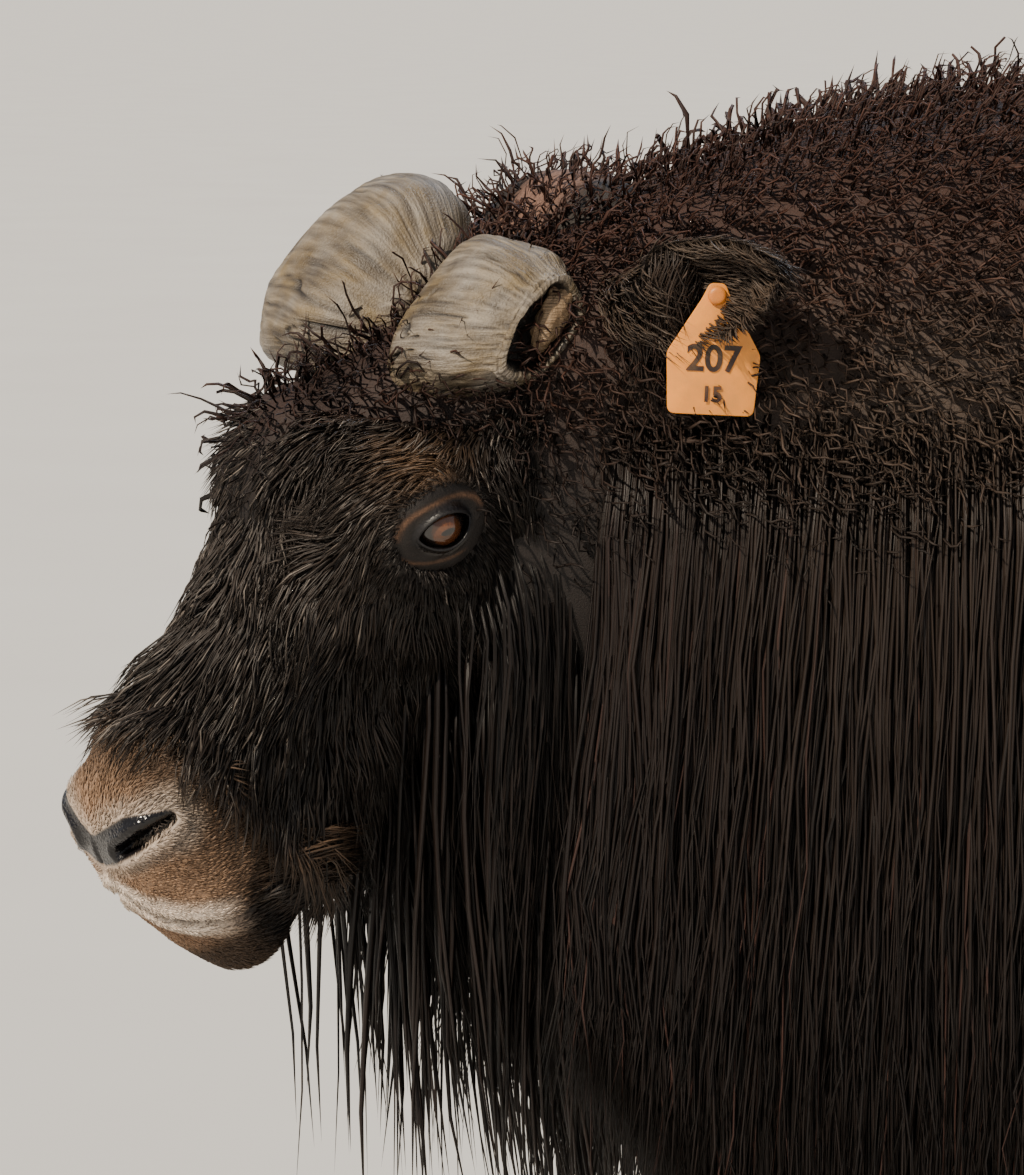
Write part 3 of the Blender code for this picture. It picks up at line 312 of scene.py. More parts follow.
def bell(points, centre, size):
    """1 at a centre, falling off smoothly over a size along each axis."""
    return np.exp(-(((points - np.array(centre)) / np.array(size)) ** 2).sum(axis=-1))


GUARD_BROWN, HUMP_RED, NAPE_GREY = linear("#17100d"), linear("#38221a"), linear("#463a31")
SADDLE_PALE, LEG_PALE = linear("#a58b68"), linear("#a8937a")
FACE_DARK, FACE_GREY, BROW_TAN = linear("#19130f"), linear("#332c27"), linear("#75593f")
POLL_TAN, MUZZLE_TAN, LIP_CREAM = linear("#77594b"), linear("#9b7c62"), linear("#e3d3c2")
NOSE_BLACK, LID_DARK, RIM_TAN_AND_FOLD_HIGHLIGHT = linear("#121012"), linear("#17110e"), linear("#7d5a41")

# Lines on the outside of the head's left half, as (out, towards the crown, up): the wet pad's middle, the
# nostril's, the mouth's and the fold above the muzzle, with how far the first two reach to each side
PAD_LINE = np.array([
    (0.000, -0.495, -0.060), (0.014, -0.492, -0.056), (0.043, -0.479, -0.048), (0.054, -0.467, -0.050),
    (0.056, -0.456, -0.056),
])
PAD_REACH = (0.011, 0.012, 0.013, 0.009, 0.006)
NOSTRIL_LINE = np.array([
    (0.030, -0.490, -0.057), (0.049, -0.478, -0.053), (0.056, -0.464, -0.056), (0.057, -0.455, -0.058),
])
NOSTRIL_REACH = (0.0034, 0.0052, 0.0046, 0.0022)
MOUTH_LINE = np.array([
    (0.000, -0.508, -0.092), (0.010, -0.506, -0.094), (0.017, -0.506, -0.102), (0.026, -0.506, -0.111),
    (0.041, -0.501, -0.119), (0.055, -0.492, -0.129), (0.059, -0.476, -0.144), (0.062, -0.455, -0.150),
])
FOLD_LINE = np.array(
    [(0.030, -0.407, -0.024), (0.039, -0.408, -0.030), (0.050, -0.411, -0.040), (0.060, -0.410, -0.051)]
)
EYE_PLACE, EYE_RADIUS = np.array([0.101, -0.200, -0.066]), 0.0185
WHORL = (0.085, -0.250, -0.030)


def mirrored(points):
    """Points folded onto the left half of the head."""
    return points * np.where(points[..., :1] < 0, [-1.0, 1.0, 1.0], 1.0)


def from_line(points, line):
    """The distance of points from a line of stretches, and the share of it where each is nearest."""
    best, share = np.full(points.shape[:-1], 9.0), np.zeros(points.shape[:-1])
    for i, (start, end) in enumerate(zip(line[:-1], line[1:])):
        way = end - start
        t = np.clip(((points - start) @ way) / (way @ way), 0, 1)
        distance = np.linalg.norm(points - start - t[..., None] * way, axis=-1)
        share = np.where(distance < best, (i + t) / (len(line) - 1), share)
        best = np.minimum(best, distance)
    return best, share


def head_colour(points):
    """The face's colour at places in the head's frame: bells and bands laid over the dark of the cheeks."""
    side = mirrored(points)
    out, down, up = side[..., 0], -side[..., 1], side[..., 2]
    patches = noise(points, 0.020, 3) * 0.5 + noise(points, 0.008, 4) * 0.3
    colour = blend(evenly(FACE_DARK, points), FACE_GREY, step(-0.09, 0.0, up + 0.03 * patches) * 0.8)
    colour = blend(
        colour, FACE_GREY * 1.5, bell(side, WHORL, (0.05, 0.06, 0.045)) * 0.5 * step(-0.6, 0.6, patches),
    )
    colour = blend(colour, BROW_TAN, bell(side, (0.112, -0.162, -0.030), (0.030, 0.030, 0.020)) * 0.9)
    colour = blend(colour, LID_DARK, bell(side, EYE_PLACE + [0.02, 0.0, 0.0], (0.04, 0.040, 0.026)) * 0.9)
    colour = blend(colour, POLL_TAN, step(0.050, 0.015, out) * step(0.19, 0.14, down) * 0.85)
    edge = 0.428 + 0.050 * step(-0.110, -0.145, up) + 0.008 * patches
    colour = blend(colour, MUZZLE_TAN, step(-0.012, 0.012, down - edge) * 0.95)
    colour = blend(
        colour, MUZZLE_TAN * 0.28,
        step(0.482, 0.435, down + 0.012 * patches) * step(0.40, 0.43, down) * 0.85,
    )
    colour = blend(
        colour, FACE_DARK, step(-0.140, -0.165, up + 0.01 * patches) * step(0.40, 0.43, down) * 0.8,
    )
    colour = blend(
        colour, LIP_CREAM * 0.7, step(0.030, 0.014, from_line(side, PAD_LINE)[0] + 0.006 * patches) * 0.6,
    )
    gap, share = from_line(side, MOUTH_LINE)
    lip = step(0.022, 0.010, gap + 0.004 * patches) * step(0.92, 0.70, share)
    colour = blend(colour, LIP_CREAM, lip * 0.85)
    colour = blend(colour, NOSE_BLACK, nose_pad(points))
    # Painted shade: a thin black line along the mouth stands for the shade in the crease between the lips.
    return blend(colour, NOSE_BLACK, step(0.0036, 0.0018, gap) * step(1.02, 0.9, share))


def nose_pad(points):
    """1 on the bare wet nose, which runs along the pad's line, and 0 on fur."""
    gap, share = from_line(mirrored(points), PAD_LINE)
    return step(1.08, 0.94, gap / np.interp(share, np.linspace(0, 1, len(PAD_REACH)), PAD_REACH))


def body_colour(points):
    """The trunk's colour at places in the world: red wool over the hump, a pale saddle, dark elsewhere."""
    out, back, up = np.abs(points[..., 0]), points[..., 1], points[..., 2]
    patches = noise(points, 0.045, 5) * 0.6 + noise(points, 0.015, 6) * 0.4
    colour = evenly(GUARD_BROWN, points)
    hump = step(0.93, 1.10, up + 0.04 * patches) * step(0.30, 0.0, back)
    colour = blend(colour, HUMP_RED, hump * 0.9)
    nape = np.exp(-(((back + 0.42) / 0.17) ** 2 + ((up - 1.01) / 0.070) ** 2)) * step(0.05, 0.12, out)
    colour = blend(colour, NAPE_GREY, nape * 0.8)
    saddle = np.exp(-(((back - 0.42) / 0.22) ** 2) - (out / 0.17) ** 4) * step(0.95, 1.08, up)
    return blend(colour, SADDLE_PALE, saddle * (0.8 + 0.2 * patches))


def leg_colour(points):
    up = points[..., 2] + 0.02 * noise(points, 0.03, 8)
    return blend(evenly(LEG_PALE, points), GUARD_BROWN, step(0.34, 0.46, up) * 0.85)


print(
    "nostril is", round(float(np.linalg.norm(np.diff(NOSTRIL_LINE, axis=0), axis=1).sum()) * 1000),
    "mm long",
)

# %% [markdown]
# ## Materials by nodes
# One small function adds a node, with its settings and its links. Each material starts from the real one.
# Colours that follow the body come from the mesh's own colour, and fine patterns from noise whose size is a
# real one in millimetres.

# %% A function that adds nodes
def add(tree, kind, settings=(), inputs=()):
    """Adds a node. Settings are its own options, and inputs are values or other nodes' outputs to link."""
    node = tree.nodes.new(kind)
    for name, value in dict(settings).items():
        setattr(node, name, value)
    for name, value in dict(inputs).items():
        if isinstance(value, bpy.types.NodeSocket):
            tree.links.new(value, node.inputs[name])
        else:
            node.inputs[name].default_value = value
    return node


def new_material(name, settings):
    """A material whose shader has its constants set on the sockets; returns it, its tree and its shader."""
    made = bpy.data.materials.new(name)
    made.use_nodes = True
    shader = made.node_tree.nodes["Principled BSDF"]
    for socket, value in settings.items():
        shader.inputs[socket].default_value = value
    return made, made.node_tree, shader


def millimetres(size):
    """The Scale of a texture whose pattern repeats about every size millimetres."""
    return 1000 / size


def painted(tree, layer):
    """The mesh's own colour of a given name."""
    return add(tree, "ShaderNodeVertexColor", {"layer_name": layer}).outputs["Color"]


def speckle(tree, size, detail=2.0):
    """Noise in the object's own space, with lumps about size millimetres across."""
    place = add(tree, "ShaderNodeTexCoord").outputs["Object"]
    inputs = {"Vector": place, "Scale": millimetres(size), "Detail": detail}
    return add(tree, "ShaderNodeTexNoise", (), inputs).outputs["Fac"]


def streaky(tree, place, stretch, detail, settings=()):
    """Noise on a place that is stretched by a different amount along each axis."""
    mapped = add(tree, "ShaderNodeMapping", (), {"Vector": place, "Scale": stretch})
    inputs = {"Vector": mapped.outputs[0], "Scale": 1.0, "Detail": detail}
    return add(tree, "ShaderNodeTexNoise", settings, inputs).outputs["Fac"]


def remapped(tree, value, low, high, start=0.0, end=1.0):
    """A value carried from between start and end to between low and high."""
    inputs = {"Value": value, "From Min": start, "From Max": end, "To Min": low, "To Max": high}
    return add(tree, "ShaderNodeMapRange", (), inputs).outputs[0]


def scaled(tree, colour, amount):
    inputs = {0: colour, "Scale": amount}
    return add(tree, "ShaderNodeVectorMath", {"operation": "SCALE"}, inputs).outputs[0]


def mixed(tree, share, under, over, way="MIX"):
    """A colour over another by a share, each an output or a hex code."""
    codes = [(*linear(colour), 1) if isinstance(colour, str) else colour for colour in (under, over)]
    inputs = {0: share, 6: codes[0], 7: codes[1]}
    return add(tree, "ShaderNodeMix", {"data_type": "RGBA", "blend_type": way}, inputs).outputs[2]


def relief(tree, height, strength, distance):
    inputs = {"Height": height, "Strength": strength, "Distance": distance}
    return add(tree, "ShaderNodeBump", (), inputs).outputs[0]


def connect(tree, shader, outputs):
    """Links outputs to the shader's sockets by their names."""
    for socket, output in outputs.items():
        tree.links.new(output, shader.inputs[socket])


# %% [markdown]
# ### Hair
# A guard hair is a smooth keratin fibre, so a lock of it shines in narrow streaks that run with the strands.
# The strands in one lock are far finer than a mesh can be, so a noise stretched along the lock, on the
# lock's own map, splits its colour and its gloss into streaks. Kemp wool and face hair are duller.

# %% Hair materials
def hair_material(name, roughness, streaks, specular):
    """Keratin hair in locks: colour from the mesh, streaks from a noise stretched along each lock."""
    settings = {"Roughness": roughness, "Specular IOR Level": specular, "IOR": 1.55}
    made, tree, shader = new_material(name, settings)
    strand = add(tree, "ShaderNodeUVMap", {"uv_map": "Strand"}).outputs[0]
    streak = streaky(tree, strand, (streaks, 1.6, 1.0), 2.0, {"noise_dimensions": "2D"})
    shade = remapped(tree, streak, 0.55, 1.5, 0.3, 0.7)
    connect(tree, shader, {
        "Base Color": scaled(tree, painted(tree, "coat"), shade), "Normal": relief(
            tree, streak, 0.7, 0.0012,
        ),
    })
    return made


guard_hair = hair_material("guard_hair_keratin", 0.44, 7.0, 0.30)
face_hair = hair_material("face_hair_keratin", 0.46, 4.0, 0.30)
wool_hair = hair_material("wool_underhair", 0.55, 4.0, 0.25)
short_hair = hair_material("short_flat_hair", 0.56, 3.0, 0.25)
print("hair materials ready")

# %% [markdown]
# ### Skin under short fur
# Where the fur is short and lies flat, such as on the muzzle, lids and legs, the skin itself carries the
# look: the body's colour, broken by a fine nap about a millimetre across. The nose is bare, black and wet,
# with fine pebbles, so its roughness falls where the mesh's wet value rises.

# %% Skin material
def skin_material():
    """Skin with a short nap: mesh colour, 1 mm nap as bump and as lighter tips, wet where the mesh says."""
    made, tree, shader = new_material("skin_with_short_nap", {"IOR": 1.45})
    wet, nap = painted(tree, "wet"), speckle(tree, 1.3, 3.0)
    place = add(tree, "ShaderNodeTexCoord").outputs["Object"]
    pebbles = add(tree, "ShaderNodeTexVoronoi", (), {"Vector": place, "Scale": millimetres(2.2)})
    height = add(
        tree, "ShaderNodeMix", {"data_type": "FLOAT"}, {0: wet, 2: nap, 3: pebbles.outputs["Distance"]},
    )
    connect(tree, shader, {
        "Base Color": scaled(tree, painted(tree, "coat"), remapped(tree, nap, 0.6, 1.4, 0.3, 0.7)),
        "Roughness": remapped(tree, wet, 0.7, 0.16),
        "Normal": relief(tree, height.outputs[0], 0.6, 0.0008),
    })
    return made


skin_look = skin_material()

# %% [markdown]
# ## The skin of the head
# The head's skin is the solid head's own loft, moved in by the depth of the fur: deep on the brow and cheeks,
# almost nothing at the nose. On it, distances from a few lines shape the nostrils, the mouth, the fold above
# the muzzle and the groove between the nostrils.

# %% Head surface
def bump(points, centre, radius, rise):
    """Moves points near a centre outwards from the head's axis, by a bell-shaped amount."""
    axis = points * [0.0, 1.0, 0.0] + [0.0, 0.0, -0.10]
    return points + unit(points - axis) * (rise * bell(points, centre, radius))[..., None]


def head_outside(down, angle):
    """The outline of the furred head: the loft of its sections, with brows, cheeks, lips and chin raised."""
    points = loft(HEAD, HEAD_CAPS, HEAD_POWER, down, angle) * [1, -1, 1]
    ease = np.clip((-points[..., 1] - NOSE_START) / NOSE_REACH, 0, 1)
    points[..., 1] += NOSE_LEAN * ease * (points[..., 2] - NOSE_MIDDLE)
    for down_at, height, out, length, rise, breadth, stand in HEAD_BUMPS:
        for side in (1, -1) if out else (1,):
            points = bump(points, (side * out, -down_at, height), (breadth, length, rise), stand)
    return points


def outward(points):
    """The way out of the head at places on it: away from a spine that ends behind the nose."""
    back = np.maximum(points[..., 1], -0.40)
    return unit(points - np.stack([0 * back, back, 0 * back - 0.11], axis=-1))


def fur_depth(points):
    """How deep the fur is: 11 mm on brow and cheeks, 4 mm round the eyes, 2 mm at the nose and lips."""
    side = mirrored(points)
    depth = 0.011 + (0.002 - 0.011) * step(0.38, 0.44, -side[..., 1])
    near_eye = np.minimum(bell(side, EYE_PLACE + [0.015, 0, 0], (0.04, 0.045, 0.035)) * 1.4, 1)
    return depth + (0.004 - depth) * near_eye


def head_skin(down, angle):
    """The skin: the outline moved in by the fur, with nostrils, mouth and folds pressed into it."""
    points = head_outside(down, angle)
    out = outward(points)
    side = mirrored(points)
    push = -fur_depth(points)
    gap, share = from_line(side, NOSTRIL_LINE)
    hole = np.interp(share, np.linspace(0, 1, len(NOSTRIL_REACH)), NOSTRIL_REACH)
    push = (
        push + 0.0034 * np.exp(-(((gap - hole - 0.005) / 0.0042) ** 2))
        - 0.014 * step(1.25, 0.55, gap / hole)
    )
    middle = np.exp(-((side[..., 0] / 0.0022) ** 2)) * step(-0.100, -0.090, side[..., 2])
    push = push - 0.0018 * middle * step(-0.045, -0.062, side[..., 2]) * step(0.46, 0.48, -side[..., 1])
    mouth_gap, mouth_share = from_line(side, MOUTH_LINE)
    closing = step(1.03, 0.85, mouth_share)
    push = push - 0.0070 * np.exp(-((mouth_gap / 0.0026) ** 2)) * closing
    push = push + 0.0024 * np.exp(-(((mouth_gap - 0.008) / 0.006) ** 2)) * closing
    fold = from_line(side, FOLD_LINE)[0]
    push = push - 0.006 * np.exp(-((fold / 0.006) ** 2)) + 0.004 * np.exp(-(((fold - 0.014) / 0.008) ** 2))
    push = push + 0.0006 * noise(points, 0.010, 11) + 0.0012 * noise(points, 0.030, 12)
    return points + out * push[..., None]


# %% [markdown]
# ## Eyelids
# A lid is skin that rides over the eyeball. Its opening is an almond, and folds run round it. Here it is a
# ring: at each angle round the eye a section starts inside the opening, rolls over the lid's edge, crosses
# the fold and runs out flush with the face, then returns underneath, so that the ring is closed. Cutting a
# hole in the head's grid would be the other way, but its edge would follow the grid and look jagged.

# %% Lids as closed rings
SLIT_HALF_LENGTH, SLIT_HALF_HEIGHT, SLIT_TILT = 0.0185, 0.0115, math.radians(-28)
LID_REACH = 0.026


def eye_frame(side):
    """The eye's middle and its three ways: along the slit towards the nose, across it, and out."""
    turn = Matrix.Rotation(side * math.radians(-12), 3, "Z")
    out = np.array(turn @ Vector((side, 0, 0)))
    along = np.array(turn @ (Matrix.Rotation(SLIT_TILT, 3, "X") @ Vector((0, -1, 0))))
    return EYE_PLACE * [side, 1, 1], along, np.cross(along, out) * -side, out


def face_height(side, along, across):
    """How far out of the eye's middle the face's skin lies, over a place given along and across the slit."""
    middle, way, over, out = eye_frame(side)
    start = middle + along[..., None] * way + across[..., None] * over
    down, angle = -start[..., 1], np.full(along.shape, side * 1.45)
    for _ in range(12):
        found = head_skin(down, angle)
        miss = found - start
        miss = miss - (miss @ out)[..., None] * out
        down = down + miss[..., 1]
        angle = angle + side * miss[..., 2] / 0.13
    return (found - middle) @ out


def lid_ring(side):
    """A lid ring's points: the almond grows from its edge outwards, over the ball, the fold and the face."""
    middle, way, over, out = eye_frame(side)
    angle = np.linspace(0, 2 * math.pi, 121)[:-1]
    share = np.concatenate([[-0.25, -0.12, -0.03], np.linspace(0, 1, 26) ** 1.2])
    grow = 1 + np.maximum(share, 0)[:, None] * (
        LID_REACH / (SLIT_HALF_HEIGHT + 0.35 * LID_REACH * np.abs(np.cos(angle)))
    )
    pinch = np.abs(np.sin(angle)) ** (0.35 * (1 - np.clip(share, 0, 1)[:, None]))
    along = SLIT_HALF_LENGTH * np.cos(angle) * grow
    across = SLIT_HALF_HEIGHT * np.sin(angle) * pinch * grow
    lid = 0.0030 + 0.0016 * np.exp(-(((share[:, None] - 0.05) / 0.05) ** 2))
    lid = lid - 0.0022 * np.exp(-(((share[:, None] - 0.26) / 0.06) ** 2)) * step(-0.2, 0.5, np.sin(angle))
    lid = lid - 0.0016 * np.exp(-(((share[:, None] - 0.34) / 0.07) ** 2)) * step(0.1, -0.6, np.sin(angle))
    ball = np.sqrt(np.maximum((EYE_RADIUS + lid) ** 2 - along**2 - across**2, 0.0))
    face = face_height(side, along, across)
    sharp = 0.0022
    height = sharp * np.logaddexp(ball / sharp, face / sharp)
    height = height + (face - 0.0015 - height) * step(0.55, 1.0, share)[:, None]
    inner = np.clip(-share, 0, 1)[:, None]
    height = np.where(share[:, None] < 0, height[3] - inner * 0.030, height)
    top = middle + along[..., None] * way + across[..., None] * over + height[..., None] * out
    under = middle + (top[::6][::-1] - middle) * 0.97 - out * 0.007
    return np.concatenate([top, under])


# %% [markdown]
# ## One skin
# The trunk, legs and ears are lofts too. All of them go into one mesh, which replaces every flesh part of the
# solids, so that no seam between those shows.

# %% Trunk, legs and ears
SKIN_DEPTH = 0.006
FORELEG = np.array([
    (0.050, -0.012, 0.044, 0.048), (0.090, 0.000, 0.043, 0.050), (0.150, 0.004, 0.035, 0.040),
    (0.235, 0.004, 0.037, 0.042), (0.290, 0.000, 0.050, 0.054), (0.360, 0.004, 0.052, 0.060),
    (0.450, 0.018, 0.068, 0.084), (0.620, 0.040, 0.085, 0.110),
])
HINDLEG = np.array([
    (0.050, -0.012, 0.042, 0.046), (0.090, 0.000, 0.041, 0.048), (0.150, 0.010, 0.034, 0.041),
    (0.250, 0.030, 0.035, 0.044), (0.335, 0.050, 0.046, 0.060), (0.400, 0.040, 0.052, 0.070),
    (0.480, 0.005, 0.068, 0.100), (0.640, -0.030, 0.085, 0.130),
])
LEG_OUT, FORE_PLACE, HIND_PLACE = 0.150, -0.270, 0.640
LEGS = (
    (LEG_OUT, FORE_PLACE - 0.015, FORELEG, 1.0),
    (-LEG_OUT, FORE_PLACE + 0.030, FORELEG, 1.0),
    (LEG_OUT, HIND_PLACE + 0.020, HINDLEG, 0.94),
    (-LEG_OUT, HIND_PLACE - 0.030, HINDLEG, 0.94),
)


def thinner(table, depth):
    """A loft's table with its surface moved in by a depth."""
    return table + np.array([0, -depth, 0, depth, -depth])


def trunk_skin(along, angle):
    return loft(thinner(TRUNK, SKIN_DEPTH), TRUNK_CAPS, TRUNK_POWER, along, angle)


def leg_rings(out, back, table, scale, sides=40, rows=90):
    """A leg's skin: an ellipse at each height, set back and leaned in by the table, with raised tendons."""
    height = np.linspace(table[0, 0] - 0.004, table[-1, 0], rows)[:, None]
    shift, half_width, half_length = np.moveaxis(smooth(table, height[:, 0]), -1, 0)[..., None]
    angle = np.arange(sides) * 2 * math.pi / sides
    lean = np.sign(out) * 0.022 * np.maximum(0, height - 0.3)
    hollow = 0.004 + 0.0030 * np.abs(np.sin(2 * angle)) * np.exp(-(((height - 0.18) / 0.05) ** 2))
    x = out - lean + np.cos(angle) * (half_width * scale - hollow)
    y = back + shift + np.sin(angle) * (half_length * scale - hollow)
    return np.stack([x, y, np.broadcast_to(height, x.shape)], axis=-1)


EAR_LENGTH, EAR_HALF_WIDTH, EAR_CUP, EAR_WALL = 0.132, 0.033, 0.026, 0.0065
EAR_ROOT, EAR_PULL = (0.026, -0.060, 0.129), (0.030, -0.020, 0.020)
EAR_WAY, EAR_OPENING = (0.827, 0.529, -0.188), (0.540, -0.657, 0.526)


def ear_ways(side):
    """The ear's ways in the head's frame: along it, across it, and out of its cup."""
    along = unit(np.array(EAR_WAY) * [side, 1, 1])
    opening = np.array(EAR_OPENING) * [side, 1, 1]
    opening = unit(opening - along * (opening @ along))
    return along, np.cross(along, opening) * side, opening


def ear_surface(side, share, angle):
    """A point of the ear: a cupped leaf on a round root, by the share of its length and an angle round it."""
    along, across, opening = ear_ways(side)
    share, angle = np.broadcast_arrays(np.asarray(share, float), angle)
    leaf = step(0.12, 0.37, share)
    width = EAR_HALF_WIDTH * (0.50 + 0.62 * leaf) * np.sqrt(np.maximum(1 - share**3.2, 0.002)) - 0.002
    wall = EAR_WALL / 2 * (1 - 0.4 * share) + 0.012 * (1 - leaf) - 0.0012
    cup = EAR_CUP * leaf * (1 - 0.45 * share)
    over = np.cos(angle)
    depth = cup * (over**2 - 0.55) + np.sin(angle) * wall * (1 - 0.6 * leaf * over**2)
    depth = depth - 0.012 * np.sin(math.pi * share)
    root = np.array([side * EAR_ROOT[2], -EAR_ROOT[0], EAR_ROOT[1]])
    root = root - np.maximum(0, 1 - share[..., None] / 0.25) ** 1.5 * np.array(EAR_PULL) * [side, 1, 1]
    reach = EAR_LENGTH * share**0.92
    return root + reach[..., None] * along + (over * width)[..., None] * across + depth[..., None] * opening


SIDES = (1, -1)
head_down = np.concatenate([
    HEAD[0, 0] - HEAD_CAPS[0] * np.cos(np.linspace(0, 1.5, 6)), np.linspace(-0.035, 0.36, 80),
    np.linspace(0.362, 0.457, 60),
    HEAD[-1, 0] + HEAD_CAPS[1] * np.sin(np.linspace(0.02, math.pi / 2, 64)) * 0.9999,
])
HEAD_SIDES, TRUNK_SIDES = 300, 110
head_angle = (np.arange(HEAD_SIDES) + 0.5) * 2 * math.pi / HEAD_SIDES
head_rings = head_skin(head_down[:, None], head_angle)
eye_gap = np.linalg.norm(mirrored(head_rings) - EYE_PLACE, axis=-1)
head_rings -= outward(head_rings) * (0.012 * step(0.034, 0.024, eye_gap))[..., None]
trunk_angle = (np.arange(TRUNK_SIDES) + 0.5) * 2 * math.pi / TRUNK_SIDES
trunk_along = stations(TRUNK, TRUNK_CAPS, 8, 90, 16)
trunk_rings = trunk_skin(trunk_along[:, None], trunk_angle)
leg_sets = [leg_rings(*leg) for leg in LEGS]
ear_share, ear_angle = np.linspace(0, 1, 64)[:, None], np.arange(72) * 2 * math.pi / 72
ear_sets = [ear_surface(side, ear_share, ear_angle) for side in SIDES]
lid_sets = [lid_ring(side) for side in SIDES]


def skin_object():
    """All the flesh as one mesh, with its colour and wetness."""
    head = [tube(to_world(head_rings))] + [tube(to_world(rings)) for rings in ear_sets]
    head += [ring_band(to_world(rings)) for rings in lid_sets]
    body = [tube(trunk_rings)]
    legs = [tube(rings) for rings in leg_sets]
    points, faces = joined(head + body + legs)
    item = mesh_object("skin", points, faces)
    head_count = sum(len(part[0]) for part in head)
    body_count = sum(len(part[0]) for part in body)
    local = to_head(points[:head_count])
    local[:head_rings[..., 0].size] = head_outside(head_down[:, None], head_angle).reshape(-1, 3)
    lid_count = sum(rings.shape[0] * rings.shape[1] for rings in lid_sets)
    head_part = head_colour(local)
    head_part[-lid_count:] = lid_colour(local[-lid_count:])
    body_end = head_count + body_count
    body_part, leg_part = body_colour(points[head_count:body_end]), leg_colour(points[body_end:])
    colours = np.concatenate([head_part, body_part, leg_part])
    wet = np.zeros(len(points))
    wet[:head_count] = nose_pad(local)
    rim = np.linalg.norm(mirrored(local[-lid_count:]) - EYE_PLACE, axis=-1)
    wet[head_count - lid_count:head_count] = step(0.0235, 0.0215, rim) * 0.8
    paint(item, "coat", colours)
    paint(item, "wet", wet)
    item.data.materials.append(skin_look)
    return item


def lid_colour(points):
    """Lids: black-brown, with a thin tan rim under the eye and a painted highlight: a thin warm line along
    the fold above it.
    """
    side = mirrored(points)
    middle, way, over, _ = eye_frame(1)
    along, across = (side - middle) @ way, (side - middle) @ over
    ring = np.hypot(along / SLIT_HALF_LENGTH, across / SLIT_HALF_HEIGHT)
    colour = blend(head_colour(points), LID_DARK, step(3.4, 2.3, ring))
    rim = np.exp(-(((ring - 1.72) / 0.13) ** 2)) * step(0.002, -0.006, across)
    colour = blend(colour, RIM_TAN_AND_FOLD_HIGHLIGHT, rim * 0.5)
    # Painted highlight: a thin warm line along the fold above the eye, where light catches it.
    fold = np.exp(-(((ring - 2.05) / 0.10) ** 2)) * step(0.006, 0.012, across) * step(-0.016, -0.004, along)
    colour = blend(colour, RIM_TAN_AND_FOLD_HIGHLIGHT * 0.7, fold * 0.5)
    return blend(colour, NOSE_BLACK, step(1.35, 1.12, ring))


skin = skin_object()
print("skin triangles", len(skin.data.polygons))

# %% [markdown]
# ## Eyes
# A muskox eye is a brown ball with an amber iris and a pupil like a bar. The wet cornea in front gives one
# sharp glint, so the ball has a clear coat, and a bulge where the cornea stands. Iris fibres run outwards
# from the pupil, and the mesh is fine enough to carry them as colours of its points. One half of the iris is
# painted a lighter amber, which is a painted highlight of its lit side.

# %% Eyeballs
IRIS_RADIUS, PUPIL_HALF = 0.0105, (0.0050, 0.0021)


def eyeball(side):
    """A closed ball turned to look out of its socket, with the cornea bulging over a painted iris."""
    middle, way, over, out = eye_frame(side)
    polar, turn = np.linspace(0.004, math.pi - 0.01, 90)[:, None], np.arange(120) * 2 * math.pi / 120
    away = EYE_RADIUS * np.sin(polar)
    radius = EYE_RADIUS + 0.0012 * np.exp(-((away / 0.0085) ** 4)) * (polar < 1.5)
    along, across, height = (
        np.broadcast_to(part, (90, 120))
        for part in (
            radius * np.sin(polar) * np.cos(turn), radius * np.sin(polar) * np.sin(turn),
            radius * np.cos(polar),
        )
    )
    points = middle + along[..., None] * way + across[..., None] * over + height[..., None] * out
    points, faces = tube(to_world(points))
    along, across = np.append(along, [0, 0]), np.append(across, [0, 0])
    gap = np.hypot(along, across)
    round_it = np.arctan2(across, along)
    fibres = noise(np.stack([np.cos(round_it) * 12, np.sin(round_it) * 12, gap * 250], -1), 1.0, 21)
    iris = step(IRIS_RADIUS + 0.0008, IRIS_RADIUS - 0.0012, gap)
    colour = blend(evenly(linear("#17100d"), points), linear("#4a2812"), iris)
    # Painted highlight: one half of the iris, with its fibres, is painted a lighter amber as its lit side.
    colour = blend(
        colour, linear("#7c4822"),
        step(0.009, 0.004, gap) * (0.5 + 0.4 * fibres) * step(0.004, -0.006, across),
    )
    pupil = np.hypot(along / PUPIL_HALF[0], across / PUPIL_HALF[1])
    colour = blend(colour, linear("#050404"), step(1.15, 0.9, pupil))
    item = mesh_object("eyeball_left" if side > 0 else "eyeball_right", points, faces)
    paint(item, "iris", colour)
    return item


def eye_material():
    """Wet eye: the painted iris under a clear coat of tears, with faint noise for its finest veins."""
    settings = {"Roughness": 0.25, "Coat Weight": 1.0, "Coat Roughness": 0.02, "IOR": 1.38}
    made, tree, shader = new_material("wet_eye", settings)
    shade = remapped(tree, speckle(tree, 0.8), 0.8, 1.2)
    connect(tree, shader, {"Base Color": scaled(tree, painted(tree, "iris"), shade)})
    return made


eyes = [eyeball(side) for side in SIDES]
wet_eye = eye_material()
for eye in eyes:
    eye.data.materials.append(wet_eye)

# %% [markdown]
# ## Horn bosses
# Both horns of this animal were shortened, so what is left of each is its thick boss: old keratin that has
# grown in layers, grey and tan, with long cracks that run outwards along the grain. The layers and cracks
# are real relief here, and the finest ones are bump. The map holds the distance along the horn and the angle
# round it, so the grain can follow the horn. The near boss ends in a hollow with a flake of core in it, and
# the inside of the hollow is painted near black as painted shade.

